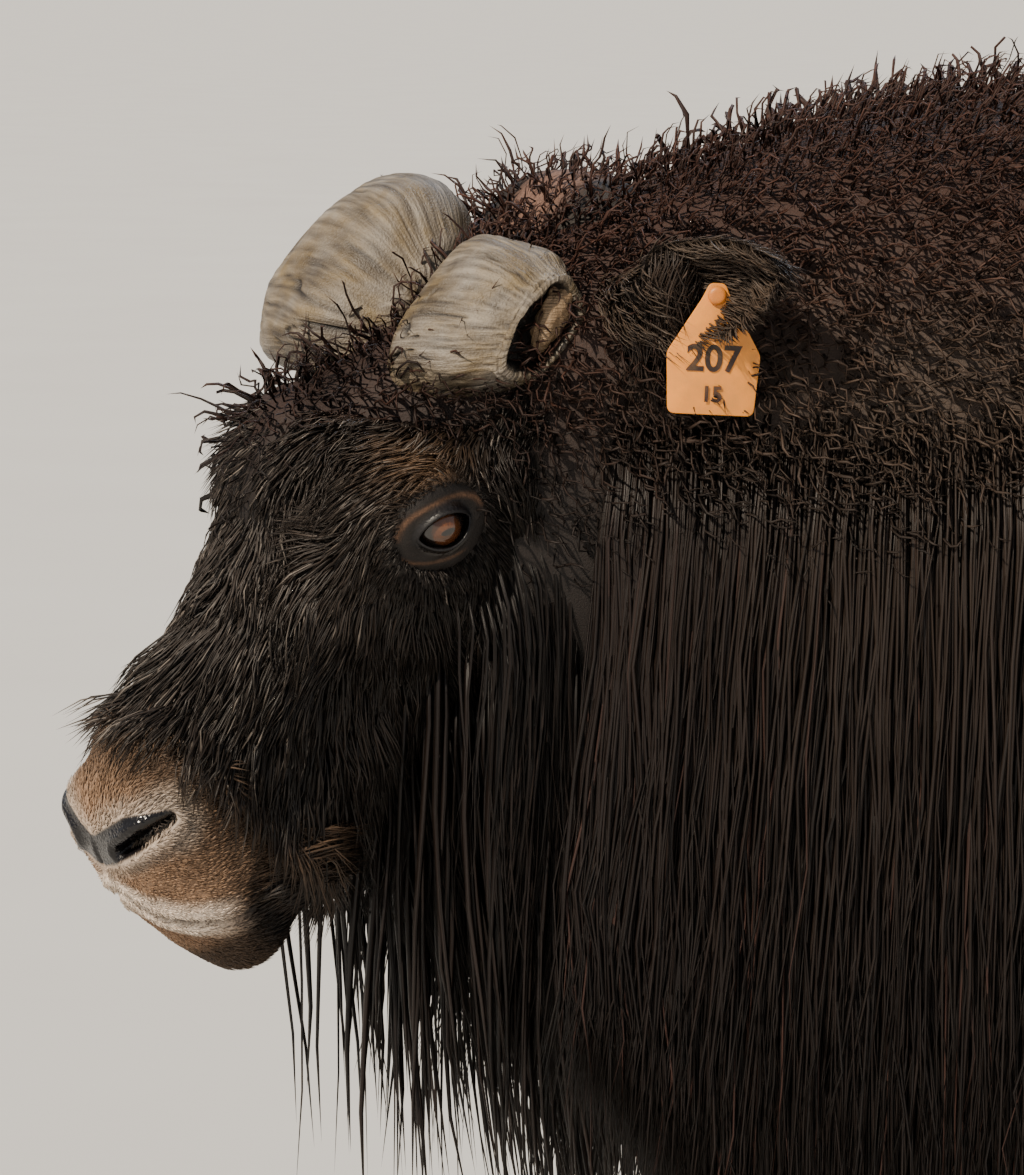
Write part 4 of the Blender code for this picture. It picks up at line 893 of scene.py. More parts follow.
# %% Horns
BOSS_LEFT = np.array([
    (0.016, -0.028, 0.076, 0.050, 0.024), (0.036, -0.026, 0.073, 0.061, 0.034),
    (0.058, -0.027, 0.068, 0.062, 0.037), (0.078, -0.032, 0.063, 0.058, 0.034),
    (0.095, -0.038, 0.059, 0.050, 0.029), (0.107, -0.043, 0.057, 0.041, 0.023),
])
BOSS_RIGHT = np.array([
    (0.018, -0.032, 0.068, 0.056, 0.026), (0.040, -0.022, 0.064, 0.078, 0.042),
    (0.072, -0.018, 0.062, 0.083, 0.048), (0.102, -0.020, 0.064, 0.078, 0.047),
    (0.127, -0.026, 0.066, 0.066, 0.040), (0.145, -0.032, 0.066, 0.048, 0.026),
])
STUB_PLACE, STUB_SIZE = (0.044, -0.047, 0.102), (0.009, 0.011, 0.024)
# The hollow end of the near boss, over 40 rings: its size as a share of the last section, and its reach
HOLLOW_ROWS, HOLLOW_SIZE = (0, 3, 7, 10, 26, 39), (1, 0.985, 0.90, 0.84, 0.62, 0.02)
HOLLOW_REACH = (0, 0.003, 0.004, 0.002, -0.014, -0.014)


def grain(share, turn, side):
    """The relief of a boss in metres: layers that end in steps, long cracks along the grain, and pits."""
    lines = np.stack([share * 3.0, np.cos(turn) * 6, np.sin(turn) * 6], -1)
    cracks = np.abs(noise(lines, 0.9, 31 if side > 0 else 34))
    broken = step(-0.1, 0.4, noise(lines * [4, 1, 1], 2.5, 33))
    layers = noise(
        np.stack([share * 14 + np.cos(turn) * 1.2, np.cos(turn) * 2, np.sin(turn) * 2], -1), 1.0, 32,
    )
    rough = noise(np.stack([share * 30, np.cos(turn) * 16, np.sin(turn) * 16], -1), 1.0, 36)
    height = 0.0018 * layers - 0.0030 * step(0.10, 0.0, cracks) * broken + 0.0006 * rough
    return height, step(0.16, 0.0, cracks) * broken


def boss(side):
    """One boss: ovals carried out over the crown, with the grain raised on them. The near one's end is
    hollow, and the other ends are rounded."""
    table = BOSS_LEFT if side > 0 else BOSS_RIGHT
    share = np.sin(np.linspace(0, math.pi / 2, 110))
    turn = np.arange(200) * 2 * math.pi / 200
    out = (table[0, 0] + (table[-1, 0] - table[0, 0]) * share)[:, None]
    height, place, half_length, half_thick = np.moveaxis(smooth(table, out), -1, 0)
    wave = 1 + 0.035 * np.sin(5 * turn + 60 * out) + 0.025 * np.sin(3 * turn + side)
    down = place + signed_power(np.cos(turn), 0.8) * half_length * wave
    up = height + signed_power(np.sin(turn), 0.85) * half_thick * wave
    rings = np.stack([np.broadcast_to(side * out, down.shape), -down, up], axis=-1)
    middles = rings.mean(axis=1, keepdims=True)
    ease = np.linspace(0, 1, 16)[:, None, None]
    inner = (
        middles[0] + (rings[0] - middles[0]) * (0.45 + 0.55 * np.sqrt(ease))
        - np.array([side * 0.007, 0, 0]) * (1 - ease)
    )
    if side > 0:
        size, reach = (
            np.interp(np.arange(40), HOLLOW_ROWS, of)[:, None, None] for of in (HOLLOW_SIZE, HOLLOW_REACH)
        )
        outer = middles[-1] + (rings[-1] - middles[-1]) * size + reach * [1, 0, 0]
    else:
        spread = np.sqrt(1 - (1 - 0.98 * ease[::-1]) ** 2)
        outer = middles[-1] + (rings[-1] - middles[-1]) * spread + [-0.006, 0, -0.003] * (1 - ease[::-1])
    rings = np.concatenate([inner[:-1], rings, outer[1:]])
    rows = np.linspace(0, 1, len(rings))[:, None]
    raised, cracks = grain(*np.broadcast_arrays(rows, turn), side)
    away = unit(rings - rings.mean(axis=1, keepdims=True))
    rings = rings + away * (raised * step(0, 0.05, 1 - rows) - 0.001)[..., None]
    points, faces = tube(to_world(rings))
    # Painted shade: the inside of the near boss's hollow is marked like a crack, so it takes the near-black
    # crack colour.
    inside = step(len(rings) - 34, len(rings) - 27, np.arange(len(rings)))[:, None] * (side > 0)
    cracks_and_hollow_shade = np.concatenate([np.maximum(cracks, inside).ravel(), [0, side > 0]])
    lines = np.stack(np.broadcast_arrays(rows, turn / (2 * math.pi)), -1).reshape(-1, 2)
    return points, faces, cracks_and_hollow_shade, np.concatenate([lines, lines[-2:]])


def stub():
    """The flake of core in the near boss's hollow: a long ragged ball that lies along the face."""
    down, height, out = STUB_PLACE
    polar, turn = np.linspace(0.05, math.pi - 0.05, 48)[:, None], np.arange(44) * 2 * math.pi / 44
    ball = np.stack(np.broadcast_arrays(
        np.sin(polar) * np.cos(turn), np.sin(polar) * np.sin(turn), np.cos(polar) + 0 * turn), axis=-1)
    ball = ball * (1 + 0.16 * noise(ball, 0.45, 37) + 0.07 * noise(ball, 0.16, 38))[..., None] * STUB_SIZE
    turned = ball @ np.array(Matrix.Rotation(math.radians(-80), 3, "X")).T
    return tube(to_world(turned + [out, -down, height]))


def horn_object(side):
    points, faces, cracks_and_hollow_shade, lines = boss(side)
    tip = np.zeros(len(points))
    if side > 0:
        flake = stub()
        points, faces = joined([(points, faces), flake])
        tip = np.concatenate([tip, np.ones(len(flake[0]))])
        cracks_and_hollow_shade = np.concatenate([cracks_and_hollow_shade, np.zeros(len(flake[0]))])
        lines = np.concatenate([lines, 0.5 + (flake[0] - flake[0][0])[:, [0, 2]] * 8])
    item = mesh_object("boss_left" if side > 0 else "boss_right", points, faces)
    paint(item, "cracks", cracks_and_hollow_shade)
    paint(item, "tip", tip)
    uv_map(item, "Grain", lines)
    return item


def horn_material():
    """Weathered horn: tan and grey bands along the grain, dark cracks, painted shade in the near boss's
    hollow, and a dull sheen where it is rubbed.
    """
    made, tree, shader = new_material("weathered_horn_keratin", {"IOR": 1.54})
    lines = add(tree, "ShaderNodeUVMap", {"uv_map": "Grain"}).outputs[0]
    bands = streaky(tree, lines, (5.0, 70.0, 1.0), 5.0)
    ramp = add(tree, "ShaderNodeValToRGB", (), {"Fac": bands})
    stops = ramp.color_ramp.elements
    stops[0].position, stops[0].color = 0.30, (*linear("#3f372f"), 1)
    stops[1].position, stops[1].color = 0.72, (*linear("#9c9284"), 1)
    middle = stops.new(0.50)
    middle.color = (*linear("#746b60"), 1)
    stain = remapped(tree, speckle(tree, 28, 4.0), 0, 1, 0.35, 0.65)
    stained = mixed(tree, stain, ramp.outputs[0], "#d8c69c", "MULTIPLY")
    # The crack mark also carries the painted shade of the near boss's hollow.
    cracked = mixed(tree, painted(tree, "cracks"), stained, "#1d1712")
    fine = speckle(tree, 1.5, 4.0)
    height = add(tree, "ShaderNodeMath", {"operation": "MULTIPLY_ADD"}, {0: fine, 1: 0.35, 2: bands})
    connect(tree, shader, {
        "Base Color": mixed(tree, painted(tree, "tip"), cracked, "#8d7458"),
        "Roughness": remapped(tree, bands, 0.38, 0.62),
        "Normal": relief(tree, height.outputs[0], 1.0, 0.0024),
    })
    return made


horns = [horn_object(side) for side in SIDES]
horn_look = horn_material()
for horn in horns:
    horn.data.materials.append(horn_look)
print("horn triangles", [len(horn.data.polygons) for horn in horns])

# %% [markdown]
# ## Hooves
# Each foot has two claws with a cleft between them, and two dewclaws behind. The claws are D-shaped
# sections that slope back as they rise. Growth rings go round a claw about 3 mm apart, and the lower edge is
# worn pale.

# %% Claws and dewclaws
HOOF_LENGTH, CLAW_WIDTH, HOOF_HEIGHT, CLEFT = 0.128, 0.060, 0.058, 0.007
HOOF_FORWARD, CLAW_PINCH, CLAW_FLAT = 0.020, 0.22, 0.004
CLAW_SECTIONS = np.array([(0, 1, 0), (0.012, 1.02, 0.002), (0.036, 0.9, 0.010), (HOOF_HEIGHT, 0.74, 0.020)])
DEWCLAW_PLACE, DEWCLAW_SIZE = (0.021, 0.046, 0.078), (0.011, 0.014, 0.017)


def claw(out, back, scale, way):
    """One claw, with its sole rounded in and growth rings on its wall."""
    rise = np.linspace(0, HOOF_HEIGHT, 60)
    size, shift = np.moveaxis(smooth(CLAW_SECTIONS, rise), -1, 0)[..., None]
    rise = rise[:, None]
    rings = 0.0004 * np.sin(rise / 0.003 * 2 * math.pi) - 0.0006
    size = size * (1 - 0.05 * np.exp(-rise / 0.0015))
    angle = np.arange(72) * 2 * math.pi / 72
    length = np.cos(angle) * (HOOF_LENGTH / 2 * size + rings)
    pinch = 1 - CLAW_PINCH * np.maximum(0, -np.cos(angle)) ** 2
    width = np.maximum(0, np.sin(angle)) * (CLAW_WIDTH * size * pinch + rings)
    width = width + (1 + np.minimum(0, np.sin(angle))) * CLAW_FLAT
    x = out + way * (CLEFT / 2 + 0.0005 + width) * scale
    y = back + (length + shift) * scale
    return tube(np.stack(np.broadcast_arrays(x, y, rise), axis=-1))


def dewclaw(out, back, scale, way):
    """A small blunt hoof behind the pastern."""
    apart, behind, height = DEWCLAW_PLACE
    polar, turn = np.linspace(0.05, math.pi - 0.05, 20)[:, None], np.arange(24) * 2 * math.pi / 24
    x = out + way * apart + np.sin(polar) * np.cos(turn) * DEWCLAW_SIZE[0]
    y = back + behind * scale + np.sin(polar) * np.sin(turn) * DEWCLAW_SIZE[1]
    z = height + np.cos(polar) * DEWCLAW_SIZE[2] + 0 * turn
    return tube(np.stack([x, y, z], axis=-1))


def hoof_object(name, out, back, scale):
    forms = ((claw, HOOF_FORWARD), (dewclaw, 0))
    claws = [form(out, back - lead, scale, way) for form, lead in forms for way in SIDES]
    return mesh_object("hoof_pair_" + name, *joined(claws))


def hoof_material():
    """Dark hoof horn, streaked down its wall, worn and dusty near the floor."""
    made, tree, shader = new_material("hoof_horn", {"IOR": 1.5})
    place = add(tree, "ShaderNodeTexCoord").outputs["Object"]
    height = add(tree, "ShaderNodeSeparateXYZ", (), {"Vector": place}).outputs["Z"]
    streak = streaky(tree, place, (500, 500, 25), 3.0)
    horn = mixed(tree, streak, "#1c1815", "#4a4037")
    connect(tree, shader, {
        "Base Color": mixed(tree, remapped(tree, height, 0, 1, 0.03, 0.0), horn, "#6b5f50"),
        "Roughness": remapped(tree, streak, 0.35, 0.6),
        "Normal": relief(tree, streak, 0.4, 0.0006),
    })
    return made


LEG_NAMES = ("front_left", "front_right", "rear_left", "rear_right")
hooves = [hoof_object(name, leg[0], leg[1], leg[3]) for name, leg in zip(LEG_NAMES, LEGS)]
hoof_look = hoof_material()
for hoof in hooves:
    hoof.data.materials.append(hoof_look)

# %% [markdown]
# ## Ear tag
# A livestock tag is a soft moulded plate, narrow at its neck, on a stud that goes through the ear. Its edges
# are rounded, and dirt lies on it in patches. It carries plain numbers only.

# %% Tag, stud and numbers
TAG_WIDTH, TAG_FOOT, TAG_HEIGHT, TAG_THICKNESS = 0.0615, 0.0565, 0.086, 0.0018
TAG_NECK, TAG_SHOULDER, TAG_CORNER, TAG_ABOVE_HOLE = 0.017, 0.038, 0.005, 0.008
STUD_RADIUS, STUD_COLLAR, STUD_BACK = 0.0028, 0.0062, 0.0090
STUD_ALONG_EAR, STUD_ACROSS_EAR, STUD_OFF_EAR = 0.60, 0.008, -0.007
TAG_TURN, TAG_LEAN = math.radians(78), math.radians(3)
STUD_PROFILE = np.array([
    (0.0001, 0.0050), (STUD_COLLAR * 0.5, 0.0050), (STUD_COLLAR * 0.75, 0.0047), (
        STUD_COLLAR * 0.93, 0.0038,
    ),
    (STUD_COLLAR, 0.0028), (STUD_COLLAR, 0.0018), (STUD_COLLAR * 0.96, 0.0014), (STUD_RADIUS, 0.0013),
    (STUD_RADIUS, -0.0235), (STUD_BACK, -0.0242), (STUD_BACK, -0.0256), (0.0001, -0.0258),
])


def tag_pose():
    """Where the tag hangs: on the stud, turned to face out from the animal's left."""
    along, across, opening = ear_ways(1)
    place = np.array([EAR_ROOT[2], -EAR_ROOT[0], EAR_ROOT[1]]) + along * EAR_LENGTH * STUD_ALONG_EAR
    place = place + across * STUD_ACROSS_EAR + opening * STUD_OFF_EAR
    turn = Matrix.Rotation(TAG_TURN, 4, "Z") @ Matrix.Rotation(TAG_LEAN, 4, "Y")
    return Matrix.Translation(to_world(place)) @ turn @ Matrix.Rotation(math.radians(90), 4, "X")


def posed(points):
    pose = np.array(tag_pose())
    return points @ pose[:3, :3].T + pose[:3, 3]


def rounded(outline, reach):
    """A closed outline whose corners become curves, each reaching a given way along its two sides."""
    before, after = unit(np.roll(outline, 1, axis=0) - outline), unit(
        np.roll(outline, -1, axis=0) - outline
    )
    t = np.linspace(0, 1, 7)[None, :, None]
    start, end = outline + before * reach[:, None], outline + after * reach[:, None]
    curve = start[:, None] * (1 - t) ** 2 + outline[:, None] * 2 * t * (1 - t) + end[:, None] * t**2
    return curve.reshape(-1, 2)


def tag_plate():
    """The plate: its outline carried through the thickness, with rounded edges and a slight curl."""
    half, foot, neck, drop = TAG_WIDTH / 2, TAG_FOOT / 2, TAG_NECK / 2, TAG_HEIGHT - TAG_ABOVE_HOLE
    right = np.array(
        [(neck * 0.60, TAG_ABOVE_HOLE), (neck + 0.001, -0.002), (half, -TAG_SHOULDER), (foot, -drop)]
    )
    reach = np.array([0.0032, 0.0032, 0.0030, TAG_CORNER])
    outline = rounded(np.concatenate([right, right[::-1] * [-1, 1]]), np.concatenate([reach, reach[::-1]]))
    middle = np.array([0, -0.034])
    rings = []
    edge = ((0.9, 1), (0.06, 1), (0.02, 0.9), (0.0, 0.5))
    for inset, depth in edge + tuple((inset, -depth) for inset, depth in edge[::-1]):
        flat = middle + (outline - middle) * (1 - inset * np.array([0.35, 0.25]) if inset < 0.5 else 0.1)
        rings.append(np.concatenate([flat, np.full((len(flat), 1), depth * TAG_THICKNESS / 2)], axis=1))
    points, faces = tube(np.array(rings))
    points[:, 2] -= tag_curl(points)
    return mesh_object("tag_plate", posed(points), faces)


def tag_curl(points):
    """How far the plate bends back from flat, more towards its lower corners."""
    curl = (
        0.0025 * (points[:, 0] * 2 / TAG_WIDTH) ** 2
        + 0.0018 * np.sin((points[:, 1] + 0.01) / TAG_HEIGHT * 2.8)
    )
    return curl * step(-0.006, -0.03, points[:, 1])


def tag_stud():
    angle = np.arange(40) * 2 * math.pi / 40
    circle = np.stack([np.cos(angle), np.sin(angle), 0 * angle], -1)
    points, faces = tube(np.array([circle * radius + [0, 0, reach] for radius, reach in STUD_PROFILE]))
    return mesh_object("tag_stud", posed(points), faces)


def tag_numbers(text, size, low):
    """Plain numbers printed on the plate: flat letters a tenth of a millimetre thick that follow its curl."""
    letters = bpy.data.curves.new("numbers", "FONT")
    letters.body, letters.size, letters.align_x = text, size, "CENTER"
    letters.extrude, letters.offset = 0.00006, 0.0005
    item = bpy.data.objects.new("numbers", letters)
    bpy.context.scene.collection.objects.link(item)
    bpy.context.view_layer.update()
    graph = bpy.context.evaluated_depsgraph_get()
    mesh = bpy.data.meshes.new_from_object(item.evaluated_get(graph))
    bpy.data.objects.remove(item)
    points = np.empty(len(mesh.vertices) * 3, np.float32)
    mesh.vertices.foreach_get("co", points)
    points = points.reshape(-1, 3) + [0, low, TAG_THICKNESS / 2 + 0.00008]
    points[:, 2] -= tag_curl(points)
    mesh.vertices.foreach_set("co", np.asarray(posed(points), np.float32).ravel())
    made = bpy.data.objects.new("tag_numbers", mesh)
    bpy.context.scene.collection.objects.link(made)
    return made


def plastic_material(name, code, dirt):
    """Moulded polyurethane: uneven colour, dirt that gathers, and a soft sheen with fine scratches."""
    settings = {
        "Subsurface Weight": 0.12, "Subsurface Radius": (0.004, 0.002, 0.001), "Subsurface Scale": 0.5,
    }
    made, tree, shader = new_material(name, settings)
    share, fine = remapped(tree, speckle(tree, 14, 5.0), 0, dirt, 0.42, 0.75), speckle(tree, 0.9, 3.0)
    connect(tree, shader, {
        "Base Color": mixed(tree, share, code, "#8a6a48"),
        "Roughness": remapped(tree, fine, 0.32, 0.55),
        "Normal": relief(tree, fine, 0.3, 0.0003),
    })
    return made


tag, tag_button = tag_plate(), tag_stud()
numbers = tag_numbers("207", 0.024, -0.049)
small_numbers = tag_numbers("15", 0.014, -0.069)
tag.data.materials.append(plastic_material("tag_polyurethane", "#f29a3a", 0.35))
tag_button.data.materials.append(plastic_material("stud_polyurethane", "#e0842c", 0.4))
for piece in (numbers, small_numbers):
    piece.data.materials.clear()
    piece.data.materials.append(plastic_material("printed_ink", "#2a1c14", 0.3))

# %% [markdown]
# ## The coat
# A muskox carries guard hair up to half a metre long, over fine wool. Particle hair would be the usual way
# to render it, but it isn't part of a mesh that can be handed on, so each lock here is a thin closed solid of
# three sides that tapers to a point. A lock has a path, which leaves the skin, follows the lie of the hair
# and hangs with it, and neighbours share their waver, so that they gather into clumps as real hair does.

# %% Scattering roots over a surface
def normals_of(rings):
    """Outward directions at the points of a closed tube of rings."""
    around = np.roll(rings, -1, axis=1) - np.roll(rings, 1, axis=1)
    found = unit(np.cross(around, np.gradient(rings, axis=0)))
    middle = rings.mean(axis=1, keepdims=True)
    return found if ((rings - middle) * found).sum() > 0 else -found


def scatter(rings, count, density):
    """Places strewn over a tube of rings, more of them where the density is high: points, normals and places
    on its map (share along it, share round it)."""
    normals = normals_of(rings)
    area = np.linalg.norm(
        np.cross((np.roll(rings, -1, axis=1) - rings)[:-1], np.diff(rings, axis=0)), axis=-1,
    )
    total = np.cumsum((area * density(rings[:-1], normals[:-1])).ravel())
    cells = np.searchsorted(total, (np.arange(count) + chance.random(count)) / count * total[-1] * 0.999999)
    row, place = np.divmod(cells, rings.shape[1])
    v, u = chance.random((2, count))
    beside = (place + 1) % rings.shape[1]

    def between(grid):
        low = grid[row, place] * (1 - u)[:, None] + grid[row, beside] * u[:, None]
        high = grid[row + 1, place] * (1 - u)[:, None] + grid[row + 1, beside] * u[:, None]
        return low * (1 - v)[:, None] + high * v[:, None]

    where = np.stack([(row + v) / (len(rings) - 1), (place + u) / rings.shape[1]], axis=-1)
    return between(rings), unit(between(normals)), where


# %% [markdown]
# ### Locks as meshes
# Each lock's section is a triangle. Its colour goes from root to tip, one map holds the place along and
# across it for the streaks, and the OFBake map puts the whole lock on a small patch at its root's place.

# %% Lock meshes
COAT_MOST, PATCH = 190_000, 0.003
coat_pieces = []


def lock_mesh(paths, widths, thickness, colours, where, taper, fronts):
    """Arrays of many locks: points, faces, colours, strand map and bake map."""
    count, steps = paths.shape[0], paths.shape[1] - 1
    share = np.linspace(0, 1, steps + 1)
    along = unit(np.gradient(paths, axis=1))
    side = unit(np.cross(along, fronts))
    front = np.cross(side, along)
    size = np.interp(share[:-1], np.linspace(0, 1, len(taper)), taper)
    angle = math.pi / 2 + np.arange(3) * 2 * math.pi / 3
    half = widths[:, None, None] / 2 * size[:, None]
    rings = paths[:, :-1, None] + side[:, :-1, None] * (half * np.cos(angle))[..., None]
    rings = rings + front[:, :-1, None] * (half * thickness * np.sin(angle))[..., None]
    points = np.concatenate([rings.reshape(count, steps * 3, 3), paths[:, -1:]], axis=1)
    step_at, j = np.meshgrid(np.arange(steps - 1), np.arange(3), indexing="ij")
    a, b = (step_at * 3 + j).ravel(), (step_at * 3 + (j + 1) % 3).ravel()
    walls = np.concatenate([np.stack([a, b, b + 3], -1), np.stack([a, b + 3, a + 3], -1)])
    last = (steps - 1) * 3
    ends = np.array([(0, 2, 1)] + [(last + k, last + (k + 1) % 3, steps * 3) for k in range(3)])
    faces = np.concatenate([walls, ends])
    if volume(points[0], faces) < 0:
        faces = faces[:, ::-1]
    faces = (faces[None] + (np.arange(count) * (steps * 3 + 1))[:, None, None]).reshape(-1, 3)
    down = np.append(np.repeat(share[:-1], 3), 1.0)
    across = np.append(np.tile([0.5, 0.0, 1.0], steps), 0.5)
    root, tip = colours
    colour = blend(root[:, None], tip[:, None], np.broadcast_to(down**0.8, (count, len(down))))
    shift = chance.random((count, 1)) * 40
    stretch = chance.uniform(0.8, 1.2, (count, 1))
    strand = np.stack([across + shift, down * stretch + chance.random((count, 1)) * 9], -1)
    patch = np.stack([across - 0.5, down - 0.5], -1) * PATCH
    bake = np.clip(where[:, None] + patch, 0.0005, 0.9995)
    return points.reshape(-1, 3), faces, colour.reshape(-1, 3), strand.reshape(-1, 2), bake.reshape(-1, 2)


def add_coat(
    name, look, slot, paths, widths, thickness, colours, where, fronts, taper=(0.75, 1.0, 0.9, 0.6),
):
    """Makes a set of locks into pieces of at most COAT_MOST triangles each."""
    steps = paths.shape[1] - 1
    each = 6 * (steps - 1) + 4
    most = COAT_MOST // each
    fronts = np.broadcast_to(fronts[:, None] if fronts.ndim == 2 else fronts, paths.shape)
    for i, start in enumerate(range(0, len(paths), most)):
        part = slice(start, start + most)
        shown = (colours[0][part], colours[1][part])
        points, faces, colour, strand, bake = lock_mesh(
            paths[part], widths[part], thickness, shown, where[part], taper, fronts[part]
        )
        item = mesh_object(f"{name}_{i + 1}", points, faces)
        paint(item, "coat", colour)
        uv_map(item, "OFBake", bake)
        uv_map(item, "Strand", strand)
        item.data.materials.append(look)
        coat_pieces.append((item, slot))
        print(item.name, len(item.data.polygons))


def shades(colour, dark, light, spread):
    """Root and tip colours: darker towards the root, lighter at the tip, each lock a little different."""
    vary = chance.normal(1, spread, len(colour)).clip(0.4, 2.2)[:, None]
    return colour * dark * vary, colour * light * vary


HEAD_TILE, TRUNK_TILE = ((0.50, 0), (0.80, 1)), ((0, 0), (0.5, 1))


def tile(where, low, high):
    """Places on a part's own map moved to that part's tile of the whole map."""
    return np.array(low) + where * (np.array(high) - np.array(low))


def varied(size, low, high, count):
    """A size for each of many locks, times a chance between low and high."""
    return size * chance.uniform(low, high, count)


def to_world_way(ways):
    """Directions of the head's frame, turned to the world's."""
    return ways @ HEAD_MATRIX.T


# %% [markdown]
# ### Combed hair
# Short and middling hair is combed: it leaves the skin, leans over along the flow and lies down. The lean is
# steep where hair is frizzy. Over a few centimetres all locks waver together, which makes the tufts.

# %% Combing
def combed(roots, normals, flow, length, rise, steps, stray, clump, wave=0.0):
    """Paths of locks that start in the skin, rise, and lie down along the flow."""
    count = len(roots)
    length, rise = np.broadcast_to(length, count), np.broadcast_to(rise, count)
    t = np.linspace(0, 1, steps + 1)[None, :, None]
    lie = (
        flow + noise_vectors(roots, clump, 41) * stray * 1.6
        + noise_vectors(roots, clump * 0.35, 42) * stray
    )
    lie = lie + chance.normal(0, stray * 0.4, (count, 3))
    lie = unit(lie - normals * (lie * normals).sum(axis=-1, keepdims=True))
    bend = np.cross(normals, lie)
    curve = noise(roots, clump * 0.8, 44)[:, None, None] * 0.25 * length[:, None, None]
    paths = roots[:, None] - normals[:, None] * np.minimum(0.002, 0.15 * length)[:, None, None]
    paths = paths + lie[:, None] * (length[:, None, None] * (0.35 * t + 0.65 * t**1.4))
    paths = paths + normals[:, None] * (rise[:, None, None] * (1 - (1 - t) ** 2.2))
    paths = paths + bend[:, None] * (curve * t**2)
    if wave:
        turn = 9 * t + (noise(roots, clump * 0.5, 45) * 6 + chance.normal(0, 0.4, count))[:, None, None]
        swing = wave * length[:, None, None] * np.sin(t)
        paths = paths + bend[:, None] * swing * np.sin(turn) + normals[:, None] * swing * np.cos(turn) * 0.6
    return paths


# %% [markdown]
# ### Hair of the face
# The hair of the forehead and bridge is long, messy and grey-tipped, and it falls forward over the start of
# the muzzle, where it ends in a ragged edge. On the muzzle the fur is a plush of 4 to 6 mm that runs back
# from the nose. Short hair runs away from the eye on every side, and gets long again down the cheeks.

# %% Face hair
GRAVITY_IN_HEAD = HEAD_MATRIX.T @ np.array([0.0, 0.0, -1.0])


def face_length(side):
    """The length of the hair at places on the face's left half."""
    out, down, up = side[:, 0], -side[:, 1], side[:, 2]
    length = 0.038 + 0.010 * step(0.24, 0.32, down) + 0.008 * step(-0.06, -0.14, up)
    eye = np.linalg.norm((side - EYE_PLACE - [0.012, 0, 0]) * [1, 1, 1.25], axis=-1)
    length = length * (0.20 + 0.80 * step(0.026, 0.070, eye))
    length = length * (1 - 0.65 * step(0.050, 0.015, out) * step(0.18, 0.13, down))
    length = length + (0.0065 - length) * step(-0.028, 0.0, down - 0.424 - 0.050 * step(-0.110, -0.145, up))
    chin = step(-0.165, -0.19, up) * step(0.40, 0.43, down)
    length = length + (0.012 - length) * chin
    return length + (0.0040 - length) * step(0.470, 0.490, down) * (1 - chin)


def face_flow(side):
    """The way the hair lies at places on the face's left half: down the face, out from the middle line, down
    and back on the cheeks, away from the eye, and back from the nose on the muzzle."""
    down, up = -side[:, 1], side[:, 2]
    flow = np.array([0.25, -1.0, -0.15]) + 0 * side
    cheek = step(-0.05, -0.13, up)[:, None]
    flow = flow * (1 - cheek) + (GRAVITY_IN_HEAD + [0.0, 0.15, 0.0]) * cheek
    muzzle = step(0.395, 0.43, down)[:, None]
    flow = flow * (1 - muzzle) + np.array([0.0, 1.0, -0.6]) * muzzle
    from_eye = side - EYE_PLACE
    near = np.exp(-((np.linalg.norm(from_eye, axis=-1) / 0.055) ** 2))[:, None]
    flow = flow + unit(from_eye * [0.2, 1, 1]) * near * 1.8
    from_whorl = side - np.array(WHORL)
    near = np.exp(-((np.linalg.norm(from_whorl, axis=-1) / 0.030) ** 2))[:, None]
    return unit(flow + unit(from_whorl) * near * 1.5)


def bare(points):
    """1 where no hair grows: inside the lids, on the nose, in the mouth."""
    side = mirrored(points)
    eye = np.linalg.norm((side - EYE_PLACE) * [0.3, 1, 1], axis=-1)
    gap, share = from_line(side, MOUTH_LINE)
    mouth = step(0.004, 0.002, gap) * step(1.0, 0.9, share)
    return np.maximum(np.maximum(step(0.0215, 0.018, eye), nose_pad(points)), mouth)


def face_density(points, normals):
    """More and finer locks on the muzzle and round the eye; none on the neck's side of the head."""
    side = mirrored(points)
    down, up = -side[..., 1], side[..., 2]
    from_eye = np.linalg.norm(side - EYE_PLACE, axis=-1)
    fine = 1 + 2.2 * step(0.39, 0.43, down) + 1.5 * np.exp(-((from_eye / 0.05) ** 2))
    near = 1 + 0.8 * (points[..., 0] > 0)
    hidden = step(0.0, 0.06, down) * step(-0.26, -0.20, up + 0.25 * step(0.15, 0.3, down))
    crown = 1 - 0.9 * step(0.055, 0.075, side[..., 0]) * step(0.12, 0.10, down) * step(-0.07, -0.05, up)
    return fine * near * np.maximum(hidden, 0.25 * step(0.05, 0.1, down)) * crown * (1 - bare(points)) ** 2


def hair_of_face():
    roots, normals, where = scatter(head_rings, 30000, face_density)
    side = mirrored(roots)
    keep = chance.random(len(roots)) > bare(roots)
    roots, normals, where, side = roots[keep], normals[keep], where[keep], side[keep]
    flip = np.where(roots[:, :1] < 0, [-1.0, 1.0, 1.0], 1.0)
    length = varied(face_length(side), 0.75, 1.25, len(roots))
    long = step(0.008, 0.03, length)
    flow = face_flow(side) * flip
    frizz = 0.06 + 0.24 * long
    rise = length * (0.38 - 0.14 * long) + 0.002 * long * noise(roots, 0.03, 46)
    paths = combed(roots, normals, flow, length, rise, 3, 0.20, 0.028)
    frizz = (frizz * length * 0.35)[:, None, None] * np.linspace(0, 1, 4)[:, None]
    paths = paths + noise_vectors(paths, 0.012, 47) * frizz
    colour = head_colour(roots - [0, 0.01, 0] * (length > 0.02)[:, None])
    messy = (chance.random(len(roots)) < 0.09 * long * step(-0.14, -0.02, side[:, 2]))[:, None]
    colour = np.where(messy, linear("#5f5750"), colour)
    widths = varied(0.0010 + 0.0008 * long, 0.7, 1.3, len(roots))
    colours, where = shades(colour, 0.7, 1.25, 0.16), tile(where, *HEAD_TILE)
    return roots, to_world(paths), widths, colours, where, to_world_way(normals)


